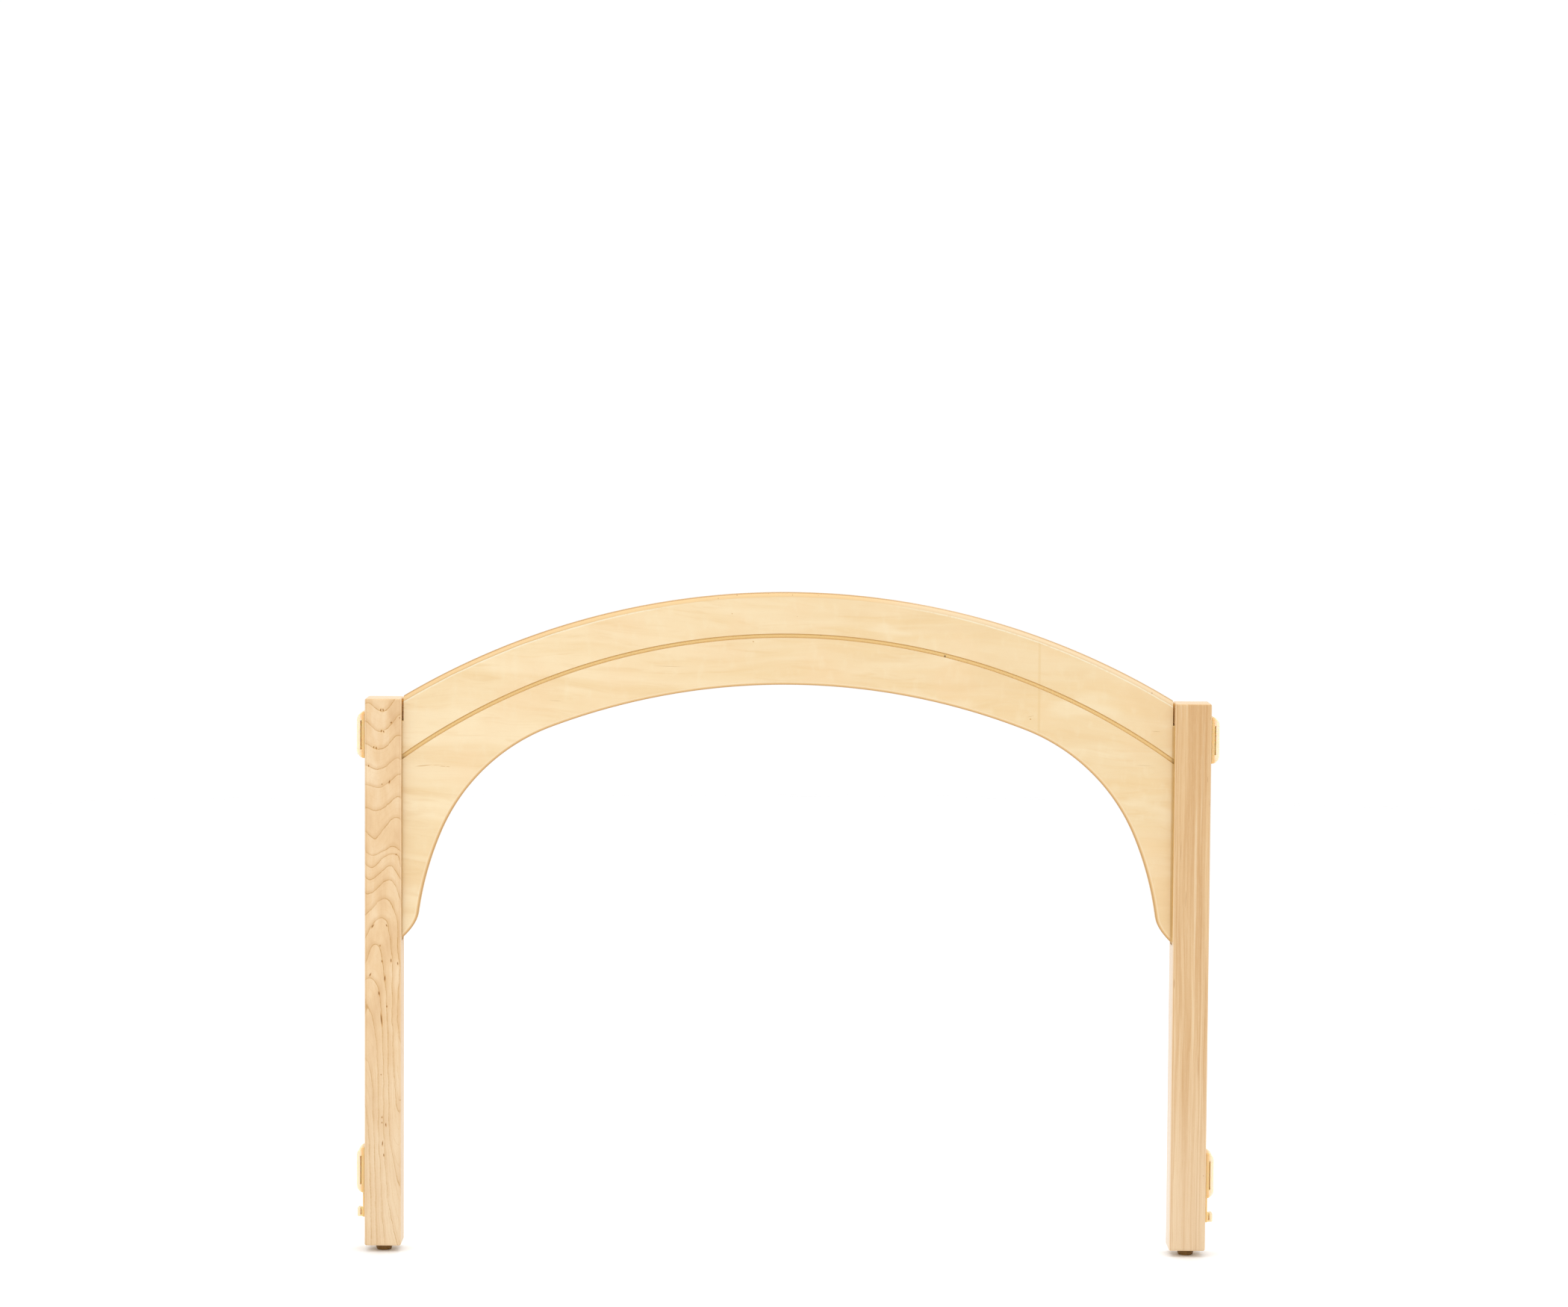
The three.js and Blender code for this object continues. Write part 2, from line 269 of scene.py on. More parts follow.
class Paint:
    """A procedural material built with short calls."""

    def __init__(self, name):
        self.mat = bpy.data.materials.new(name)
        self.mat.use_nodes = True
        self.nt = self.mat.node_tree
        self.nt.nodes.clear()
        self.out = self.nt.nodes.new("ShaderNodeOutputMaterial")
        self.bsdf = self.nt.nodes.new("ShaderNodeBsdfPrincipled")
        self.nt.links.new(self.bsdf.outputs[0], self.out.inputs[0])
        tc = self.nt.nodes.new("ShaderNodeTexCoord")
        self.object = tc.outputs["Object"]
        self.normal = tc.outputs["Normal"]

    def put(self, socket, value):
        if isinstance(value, bpy.types.NodeSocket):
            self.nt.links.new(value, socket)
        elif value is not None:
            socket.default_value = value

    def node(self, kind, **props):
        n = self.nt.nodes.new(kind)
        for k, v in props.items():
            setattr(n, k, v)
        return n

    def math(self, op, a, b=None, c=None, clamp=False):
        n = self.node("ShaderNodeMath", operation=op, use_clamp=clamp)
        for s, v in zip(n.inputs, (a, b, c)):
            self.put(s, v)
        return n.outputs[0]

    def vmath(self, op, a, b=None, scale=None):
        n = self.node("ShaderNodeVectorMath", operation=op)
        self.put(n.inputs[0], a)
        self.put(n.inputs[1], b)
        if scale is not None:
            self.put(n.inputs["Scale"], scale)
        return n.outputs["Value"] if op in ("LENGTH", "DOT_PRODUCT", "DISTANCE") else n.outputs["Vector"]

    def split(self, v):
        n = self.node("ShaderNodeSeparateXYZ")
        self.put(n.inputs[0], v)
        return n.outputs

    def join(self, x, y, z):
        n = self.node("ShaderNodeCombineXYZ")
        for s, v in zip(n.inputs, (x, y, z)):
            self.put(s, v)
        return n.outputs[0]

    def noise(self, v, scale, detail=2.0, rough=0.5, distortion=0.0, color=False):
        n = self.node("ShaderNodeTexNoise")
        self.put(n.inputs["Vector"], v)
        n.inputs["Scale"].default_value = scale
        n.inputs["Detail"].default_value = detail
        n.inputs["Roughness"].default_value = rough
        n.inputs["Distortion"].default_value = distortion
        return n.outputs["Color" if color else "Fac"]

    def voronoi(self, v, scale, feature="F1", randomness=1.0):
        n = self.node("ShaderNodeTexVoronoi", feature=feature)
        self.put(n.inputs["Vector"], v)
        n.inputs["Scale"].default_value = scale
        n.inputs["Randomness"].default_value = randomness
        return n.outputs["Distance"]

    def ramp(self, fac, stops, interpolation="LINEAR"):
        n = self.node("ShaderNodeValToRGB")
        self.put(n.inputs[0], fac)
        n.color_ramp.interpolation = interpolation
        el = n.color_ramp.elements
        while len(el) < len(stops):
            el.new(0.5)
        for e, (p, c) in zip(el, stops):
            e.position = p
        for e, (p, c) in zip(el, stops):
            e.color = c if isinstance(c, tuple) else (c, c, c, 1.0)
        return n.outputs[0]

    def mix(self, fac, a, b, blend="MIX"):
        n = self.node("ShaderNodeMix", data_type="RGBA", blend_type=blend)
        self.put(n.inputs["Factor"], fac)
        self.put(n.inputs[6], a)
        self.put(n.inputs[7], b)
        return n.outputs[2]

    def step(self, v, lo, hi, out0=0.0, out1=1.0):
        n = self.node("ShaderNodeMapRange", interpolation_type="SMOOTHSTEP")
        for s, x in zip(n.inputs, (v, lo, hi, out0, out1)):
            self.put(s, x)
        return n.outputs[0]

    def curve(self, v, points, lo, hi, low, high):
        """A smooth function of v through (input, output) points."""
        n = self.node("ShaderNodeFloatCurve")
        self.put(n.inputs["Value"], self.math("DIVIDE", self.math("SUBTRACT", v, lo), hi - lo))
        c = n.mapping.curves[0]
        pts = sorted(((p - lo) / (hi - lo), (q - low) / (high - low)) for p, q in points)
        while len(c.points) < len(pts):
            c.points.new(0.5, 0.5)
        for k, (p, q) in zip(c.points, pts):
            k.location = (p, q)
            k.handle_type = "AUTO"
        n.mapping.use_clip = False
        n.mapping.update()
        return self.math("MULTIPLY_ADD", n.outputs[0], high - low, low)

    def bump(self, height, strength, distance):
        n = self.node("ShaderNodeBump")
        n.inputs["Strength"].default_value = strength
        n.inputs["Distance"].default_value = distance * MM
        self.put(n.inputs["Height"], height)
        self.put(self.bsdf.inputs["Normal"], n.outputs[0])

    def gloss(self, roughness, coat=0.0, coat_roughness=0.1, specular=0.5):
        self.put(self.bsdf.inputs["Roughness"], roughness)
        self.bsdf.inputs["Coat Weight"].default_value = coat
        self.bsdf.inputs["Coat Roughness"].default_value = coat_roughness
        self.bsdf.inputs["Specular IOR Level"].default_value = specular

    def color(self, c, tint=(1.0, 1.0, 1.0)):
        """Base colour, with the finish's own tint laid over it."""
        if tint != (1.0, 1.0, 1.0):
            c = self.mix(1.0, c, (*tint, 1.0), "MULTIPLY")
        self.put(self.bsdf.inputs["Base Color"], c)


def ellipse_marks(p, coords, marks, soft=0.45):
    """Small dark marks, each an ellipsoid at (x, y, z) with half sizes (a, b, c) and a
    tilt in degrees in the X-Z plane. Returns a mask."""
    nearest = None
    for x, y, z, a, b, c, tilt in marks:
        m = p.node("ShaderNodeMapping", vector_type="TEXTURE")
        p.put(m.inputs["Vector"], coords)
        m.inputs["Location"].default_value = (x, y, z)
        m.inputs["Rotation"].default_value = (0, math.radians(tilt), 0)
        m.inputs["Scale"].default_value = (a, b, c)
        d = p.vmath("LENGTH", m.outputs[0])
        nearest = d if nearest is None else p.math("MINIMUM", nearest, d)
    return p.step(nearest, 1.0 - soft, 1.0 + soft, 1.0, 0.0)


# ------------------------------------------------------------ wood

def eased(p, body, line, wear_and_highlight):
    """Upright corners: a fine darker line where the flat face ends, then a paler strip
    painted round the corner itself as a highlight."""
    nx, ny, nz = p.split(p.normal)
    s = p.math("MINIMUM", p.math("ABSOLUTE", nx), p.math("ABSOLUTE", ny))
    rim = p.math("MULTIPLY", p.step(s, 0.06, 0.2), p.step(s, 0.26, 0.45, 1.0, 0.0))
    body = p.mix(p.math("MULTIPLY", rim, 0.34), body, line)
    return p.mix(p.math("MULTIPLY", p.step(s, 0.34, 0.6), 0.5), body, wear_and_highlight)


def slit(p, body, x, y, z, sign):
    """Painted shade in the narrow gap between a post and the panel's shoulder: a deep golden tone laid where the gap
    lies in shadow.
    """
    inner = p.step(p.math("MULTIPLY", x, sign), POST_INNER - 0.4, POST_INNER - 0.05, 0.0, 1.0)
    near = p.step(p.math("MULTIPLY", x, sign), POST_INNER + 0.05, POST_INNER + 0.3, 1.0, 0.0)
    deep = p.step(p.math("ABSOLUTE", y), 8.6, 9.3, 1.0, 0.0)
    high = p.step(z, SHOULDER_Z - 1.0, SHOULDER_Z)
    mask = p.math("MULTIPLY", p.math("MULTIPLY", inner, near), p.math("MULTIPLY", deep, high))
    return p.mix(p.math("MULTIPLY", mask, 0.97), body, (1.13, 0.735, 0.2, 1.0)), mask


def fibre(p, v, across, along):
    """Fine fibre, stretched along Z of v (millimetres)."""
    x, y, z = p.split(v)
    q = p.join(p.math("MULTIPLY", x, across), p.math("MULTIPLY", y, across), p.math("MULTIPLY", z, along))
    return p.noise(q, 1.0, 5.0, 0.62)


# Growth rings on the left post's front: ring number at (u, z) is a quartic in u / 20,
# with these coefficients at these heights.
RING_Z = [0, 30, 65, 100, 135, 170, 205, 235, 260, 282, 300, 318, 335, 350, 364, 378, 392, 406, 420, 432, 444, 456, 468, 482,
          498, 516, 536, 556, 580, 606]
RINGS = [
    [16.31, 16.03, 15.71, 15.45, 15.14, 15.13, 15.07, 14.95, 14.73, 14.53, 14.21, 13.98, 13.81, 13.43, 13.07, 12.37, 11.74,
     10.85, 9.8, 8.85, 7.53, 7.15, 6.75, 6.11, 5.49, 4.63, 3.64, 2.7, 1.42, 0.4],
    [-2.12, -2.54, -3.01, -3.31, -3.67, -3.72, -3.66, -3.36, -3.07, -2.69, -2.01, -1.35, -1.25, -0.68, -0.28, 0.11, 0.61,
     1.16, 1.42, 1.65, 1.18, 0.95, 0.92, 0.58, 0.38, 0.5, 0.47, 0.49, 0.29, -0.01],
    [1.14, 1.11, 1.08, 1.02, 0.75, 0.16, -0.58, -1.05, -1.28, -1.02, -0.94, -1.18, -1.56, -1.68, -1.72, -1.63, -1.48, -1.19,
     -0.82, -0.21, 0.25, 0.45, 0.58, 0.69, 0.74, 0.81, 0.84, 1.08, 1.45, 1.21],
    [-0.06, 0.21, 0.53, 0.84, 1.07, 1.22, 1.24, 1.09, 0.81, 0.55, 0.42, 0.3, 0.25, 0.17, -0.04, -0.37, -0.85, -1.4, -1.71,
     -1.74, -1.54, -1.1, -0.69, -0.39, -0.22, -0.2, -0.35, -0.33, -0.11, 0.33],
    [-0.47, -0.4, -0.31, -0.17, -0.03, 0.07, 0.14, 0.22, 0.28, 0.14, -0.02, -0.04, 0.1, 0.3, 0.46, 0.57, 0.58, 0.48, 0.23,
     0.01, -0.2, -0.4, -0.49, -0.5, -0.46, -0.43, -0.53, -0.64, -0.72, -0.88],
]


def horner(p, t, terms):
    out = terms[-1]
    for c in reversed(terms[:-1]):
        out = p.math("MULTIPLY_ADD", out, t, c)
    return out


def maple_flat_sawn():
    """Left post: valleys of ring lines at the top of the front face, arches in the middle
    and long lines below, carried through the thickness to the sides and back."""
    p = Paint("maple_flat_sawn_lacquered")
    mm = p.vmath("SCALE", p.object, scale=1000.0)
    x, y, z = p.split(mm)
    nx, ny, nz = p.split(p.normal)
    u = p.math("ADD", x, POST_AXIS)
    t = p.math("DIVIDE", u, 20.0)
    height = p.math("MINIMUM", p.math("MAXIMUM", z, 0.0), 606.0)
    c = [p.curve(height, list(zip(RING_Z, row)), 0, 606, -6, 18) for row in RINGS]
    slopes = [np.gradient(np.array(row), np.array(RING_Z, float)) for row in RINGS[:3]]
    e = [p.curve(height, [(a, float(b) * 10) for a, b in zip(RING_Z, row)], 0, 606, -3, 3) for row in slopes]
    depth = p.math("MAXIMUM", p.math("ADD", y, POST_SIDE / 2 - POST_EASE), 0.0)
    count = p.math("MULTIPLY_ADD", depth, 0.16, horner(p, t, c))
    du = p.math("DIVIDE", horner(p, t, [c[1], p.math("MULTIPLY", c[2], 2.0), p.math("MULTIPLY", c[3], 3.0), p.math("MULTIPLY", c[4], 4.0)]), 20.0)
    dz = p.math("DIVIDE", horner(p, t, e), 10.0)

    def share(g, n):
        """What a gradient along one axis adds on a face with this normal."""
        return p.math("MULTIPLY", p.math("MULTIPLY", g, g), p.math("SUBTRACT", 1.0, p.math("MULTIPLY", n, n)))
    rate = p.math("SQRT", p.math("ADD", p.math("ADD", share(du, nx), share(dz, nz)), p.math("ADD", share(0.16, ny), 0.0002)))
    low = p.noise(p.join(p.math("MULTIPLY", u, 0.11), p.math("MULTIPLY", y, 0.11), p.math("MULTIPLY", z, 0.06)), 1.0, 2.0, 0.5)
    fine = p.noise(p.join(p.math("MULTIPLY", u, 0.45), p.math("MULTIPLY", y, 0.45), p.math("MULTIPLY", z, 0.16)), 1.0, 3.0, 0.6)
    wobble = p.math("ADD", p.math("MULTIPLY", p.math("SUBTRACT", low, 0.5), 3.0), p.math("MULTIPLY", p.math("SUBTRACT", fine, 0.5), 1.1))
    tilt = p.noise(p.join(p.math("MULTIPLY", u, 0.07), p.math("MULTIPLY", y, 0.07), p.math("MULTIPLY", z, 0.01)), 1.0, 2.0, 0.5)
    ring = p.math("FRACT", p.math("MULTIPLY_ADD", wobble, rate, count))
    past = p.math("DIVIDE", ring, rate)                                   # mm beyond the last ring line
    before = p.math("DIVIDE", p.math("SUBTRACT", 1.0, ring), rate)         # mm short of the next
    line = p.math("MAXIMUM", p.step(before, 0.1, 0.85, 1.0, 0.0), p.step(past, 0.05, 0.35, 1.0, 0.0))
    shadow = p.step(before, 0.0, 5.0, 1.0, 0.0)
    # weaker lines between the strong ones
    again = p.math("FRACT", p.math("ADD", p.math("MULTIPLY", p.math("MULTIPLY_ADD", wobble, rate, count), 3.0), p.math("MULTIPLY", tilt, 0.8)))
    faint = p.math("DIVIDE", p.math("SUBTRACT", 1.0, again), p.math("MULTIPLY", rate, 3.0))
    faint = p.step(faint, 0.0, 1.5, 1.0, 0.0)
    patchy = p.step(p.noise(mm, 0.06, 2.0), 0.3, 0.6, 0.45, 1.0)
    patchy = p.math("MULTIPLY", patchy, p.step(p.noise(mm, 0.45, 2.0), 0.3, 0.55, 0.55, 1.0))
    front = p.step(p.math("ABSOLUTE", ny), 0.3, 0.9, 0.45, 1.0)
    tone = p.noise(p.join(p.math("MULTIPLY", u, 0.06), p.math("MULTIPLY", y, 0.06), p.math("MULTIPLY", z, 0.018)), 1.0, 3.0, 0.55)
    grain = fibre(p, mm, 2.4, 0.05)
    hair = fibre(p, mm, 7.0, 0.16)
    fleckle = fibre(p, mm, 1.1, 0.5)
    upper = p.step(z, 190.0, 330.0)
    body = p.ramp(tone, [(0.28, srgb(233, 196, 150)), (0.5, srgb(246, 214, 169)), (0.72, srgb(255, 231, 194))])
    body = p.mix(p.step(z, 340.0, 60.0, 0.0, 0.6), body, srgb(247, 226, 194))
    body = p.mix(p.math("MULTIPLY", shadow, p.math("MULTIPLY_ADD", upper, 0.24, 0.22)), body, srgb(222, 180, 126))
    body = p.mix(p.math("MULTIPLY", p.math("MULTIPLY", faint, patchy), p.math("MULTIPLY_ADD", upper, -0.13, 0.22)), body, srgb(214, 166, 100))
    body = p.mix(p.step(fleckle, 0.5, 0.75, 0.0, 0.26), body, srgb(230, 188, 136))
    body = p.mix(p.step(grain, 0.52, 0.8, 0.0, 0.34), body, srgb(220, 174, 120))
    body = p.mix(p.step(hair, 0.54, 0.82, 0.0, 0.26), body, srgb(255, 232, 198))
    ink = p.math("MULTIPLY", p.math("MULTIPLY", line, patchy), p.math("MULTIPLY_ADD", upper, 0.24, 0.56))
    body = p.mix(p.math("MULTIPLY", ink, front), body, srgb(196, 146, 66))
    # bark flecks and gum streaks on the front face
    f = -19.7
    marks = [(-2.4, f, 591.7, 0.6, 2, 1.3, 14), (0.3, f, 591.6, 0.6, 2, 1.4, -14),
             (-1.7, f, 568.9, 0.6, 2, 1.3, 14), (0.8, f, 568.2, 0.55, 2, 1.0, -18),
             (-9.9, f, 551.3, 0.55, 2, 1.1, 12), (-7.1, f, 550.4, 0.6, 2, 1.4, -10),
             (9.0, f, 578.0, 0.8, 2, 1.0, 40), (18.0, f, 583.3, 0.5, 2, 0.9, 0),
             (-15.5, f, 531.1, 0.65, 2, 0.9, 0), (7.0, f, 513.7, 0.7, 2, 1.8, 16),
             (-1.0, f, 511.2, 0.45, 2, 0.8, 0), (14.4, f, 435.1, 0.6, 2, 0.7, -40),
             (-11.0, f, 356.9, 0.6, 2, 2.3, 32), (4.1, f, 357.8, 0.5, 2, 1.3, -22),
             (-2.9, f, 335.8, 0.5, 2, 0.9, 0), (-0.9, f, 318.7, 0.5, 2, 1.4, -6),
             (9.0, f, 319.6, 0.55, 2, 2.0, 0), (16.2, f, 316.4, 0.5, 2, 1.5, -6),
             (-13.6, f, 304.0, 0.6, 2, 1.9, 24), (2.2, f, 300.0, 0.7, 2, 3.0, 2),
             (-4.0, f, 283.7, 0.7, 2, 2.2, -8), (4.4, f, 269.5, 0.55, 2, 1.1, 0),
             (-1.4, f, 255.2, 0.65, 2, 6.6, -6), (-1.8, f, 195.0, 0.4, 2, 0.8, 0),
             (19.0, f, 167.1, 0.5, 2, 0.9, -8), (-0.8, f, 148.2, 0.45, 2, 1.0, 0),
             (-0.8, f, 142.4, 0.45, 2, 0.8, 0), (3.5, f, 140.0, 0.5, 2, 1.8, -4),
             (-0.2, f, 119.5, 0.5, 2, 2.6, 4), (1.2, f, 106.7, 0.5, 2, 1.5, -4)]
    flecks = p.join(u, y, z)
    halo = ellipse_marks(p, flecks, [(a, b, d, 1.9, 2.5, 2.8, 0) for a, b, d, *_ in marks[:6]], 0.6)
    body = p.mix(p.math("MULTIPLY", halo, 0.3), body, srgb(255, 222, 168))
    rim = ellipse_marks(p, flecks, [(a + 0.1, b, d - 0.15, ra * 1.35, rb, rc * 1.2, tl) for a, b, d, ra, rb, rc, tl in marks], 0.5)
    heart = ellipse_marks(p, flecks, [(a - 0.1, b, d, ra * 0.72, rb, rc * 0.78, tl) for a, b, d, ra, rb, rc, tl in marks], 0.35)
    body = p.mix(p.math("MULTIPLY", rim, 0.66), body, srgb(206, 146, 52))
    body = p.mix(p.math("MULTIPLY", heart, 0.9), body, srgb(128, 78, 14))
    # end grain
    end = p.step(p.math("ABSOLUTE", nz), 0.5, 0.95)
    endgrain = p.mix(p.step(fibre(p, mm, 3.0, 3.0), 0.4, 0.7), srgb(250, 220, 176), srgb(255, 234, 200))
    body = p.mix(p.math("MULTIPLY", end, 0.75), body, endgrain)
    body = eased(p, body, srgb(206, 156, 100), srgb(255, 228, 190))
    body, dark = slit(p, body, x, y, z, -1.0)
    p.color(body, (0.795, 0.762, 0.722))
    rough = p.math("ADD", p.math("MULTIPLY", grain, 0.16), p.math("MULTIPLY", line, 0.05))
    p.gloss(p.math("ADD", p.math("ADD", rough, 0.3), p.math("MULTIPLY", dark, 0.6)), specular=0.42)
    p.bump(p.math("ADD", p.math("MULTIPLY", hair, 0.7), p.math("MULTIPLY", line, -0.6)), 0.2, 0.07)
    return p.mat


def maple_quarter_sawn():
    """Right post: straight close grain in uneven streaks, tanner towards the top."""
    p = Paint("maple_quarter_sawn_lacquered")
    mm = p.vmath("SCALE", p.object, scale=1000.0)
    x, y, z = p.split(mm)
    nx, ny, nz = p.split(p.normal)
    u = p.math("SUBTRACT", x, POST_AXIS)
    drift = p.noise(p.join(p.math("MULTIPLY", u, 0.03), p.math("MULTIPLY", y, 0.03), p.math("MULTIPLY", z, 0.005)), 1.0, 2.0, 0.5)
    across = p.math("ADD", p.math("MULTIPLY_ADD", y, 0.55, u), p.math("MULTIPLY", p.math("SUBTRACT", drift, 0.5), 9.0))

    def streaks(pitch, reach, detail, rough):
        """Noise across the grain that holds for a long way along it."""
        return p.noise(p.join(p.math("DIVIDE", across, pitch), 3.7, p.math("DIVIDE", z, reach)), 1.0, detail, rough)
    wide = streaks(9.0, 420.0, 1.0, 0.5)
    middle = streaks(3.4, 260.0, 2.0, 0.6)
    close = streaks(1.3, 140.0, 2.0, 0.6)
    grain = fibre(p, mm, 2.1, 0.03)
    hair = fibre(p, mm, 6.0, 0.09)
    speck = fibre(p, mm, 3.0, 0.55)
    body = p.ramp(p.math("DIVIDE", z, 604.0), [(0.0, srgb(241, 214, 180)), (0.2, srgb(240, 211, 174)), (0.45, srgb(237, 204, 161)),
                                              (0.75, srgb(234, 198, 151)), (1.0, srgb(232, 194, 145))])
    calm = p.step(z, 260.0, 60.0, 1.0, 0.35)            # the foot of the post is plainer
    body = p.mix(p.math("MULTIPLY", p.step(wide, 0.4, 0.66, 0.0, 0.46), calm), body, srgb(214, 168, 114))
    body = p.mix(p.math("MULTIPLY", p.step(middle, 0.47, 0.68, 0.0, 0.54), calm), body, srgb(208, 160, 104))
    body = p.mix(p.step(middle, 0.3, 0.46, 0.5, 0.0), body, srgb(248, 224, 188))
    body = p.mix(p.math("MULTIPLY", p.step(close, 0.5, 0.7, 0.0, 0.46), calm), body, srgb(210, 162, 106))
    # two long darker lines near the outer corner
    for at, width in ((10.6, 0.25), (13.8, 0.2)):
        off = p.math("ABSOLUTE", p.math("ADD", p.math("SUBTRACT", u, at), p.math("MULTIPLY", p.math("SUBTRACT", drift, 0.5), 5.0)))
        body = p.mix(p.math("MULTIPLY", p.step(off, width, width + 0.6, 0.32, 0.0), p.step(ny, -0.6, -0.95)), body, srgb(196, 146, 90))
    body = p.mix(p.step(grain, 0.48, 0.72, 0.0, 0.36), body, srgb(214, 166, 110))
    body = p.mix(p.step(hair, 0.5, 0.74, 0.0, 0.42), body, srgb(251, 228, 194))
    body = p.mix(p.step(speck, 0.58, 0.74, 0.0, 0.3), body, srgb(200, 148, 92))
    f = -19.7
    marks = [(18.6, f, 497.0, 0.35, 2, 4.0, 4), (16.0, f, 522.0, 0.3, 2, 3.0, 0), (18.2, f, 588.0, 0.4, 2, 1.6, 0),
             (-17.5, f, 300.0, 0.5, 2, 5.0, 0), (17.0, f, 90.0, 0.4, 2, 0.8, 0), (-6.0, f, 392.0, 0.3, 2, 9.0, 1),
             (9.5, f, 210.0, 0.3, 2, 12.0, -1), (-12.0, f, 444.0, 0.3, 2, 10.0, 1)]
    body = p.mix(p.math("MULTIPLY", ellipse_marks(p, p.join(u, y, z), marks, 0.3), 0.5), body, srgb(170, 118, 62))
    end = p.step(p.math("ABSOLUTE", nz), 0.5, 0.95)
    endgrain = p.mix(p.step(fibre(p, mm, 3.0, 3.0), 0.4, 0.7), srgb(244, 212, 168), srgb(252, 226, 188))
    body = p.mix(p.math("MULTIPLY", end, 0.75), body, endgrain)
    body = eased(p, body, srgb(200, 148, 92), srgb(250, 220, 180))
    # a golden line along the joint with the panel: a dark joint, and painted shade on the post's inner face beside it
    inner = p.step(x, POST_INNER + 0.6, POST_INNER + 0.15, 0.0, 1.0)
    beside = p.math("MULTIPLY", p.step(p.math("ABSOLUTE", y), 8.6, 9.0), p.step(p.math("ABSOLUTE", y), 17.0, 18.6, 1.0, 0.0))
    along = p.math("MULTIPLY", p.step(z, TIP_Z - 1.0, TIP_Z + 3.0), p.step(z, SHOULDER_Z + 1.0, SHOULDER_Z - 1.0))
    joint_line_and_shade = p.math("MULTIPLY", p.math("MULTIPLY", inner, beside), along)
    # painted light: the inner face below the panel's tip is made paler, as if lit from the side
    clear = p.math("MULTIPLY", p.step(nx, -0.35, -0.85, 0.0, 0.5), p.step(z, TIP_Z + 3.0, TIP_Z - 3.0))
    body = p.mix(clear, body, (1.06, 0.96, 0.86, 1.0))
    body = p.mix(p.math("MULTIPLY", joint_line_and_shade, 0.8), body, (0.9, 0.56, 0.16, 1.0))
    body, dark = slit(p, body, x, y, z, 1.0)
    p.color(body, (0.825, 0.808, 0.762))
    p.gloss(p.math("ADD", p.math("MULTIPLY_ADD", grain, 0.18, 0.3), p.math("MULTIPLY", dark, 0.6)), specular=0.42)
    p.bump(p.math("ADD", hair, p.math("MULTIPLY", middle, -0.4)), 0.22, 0.08)
    return p.mat


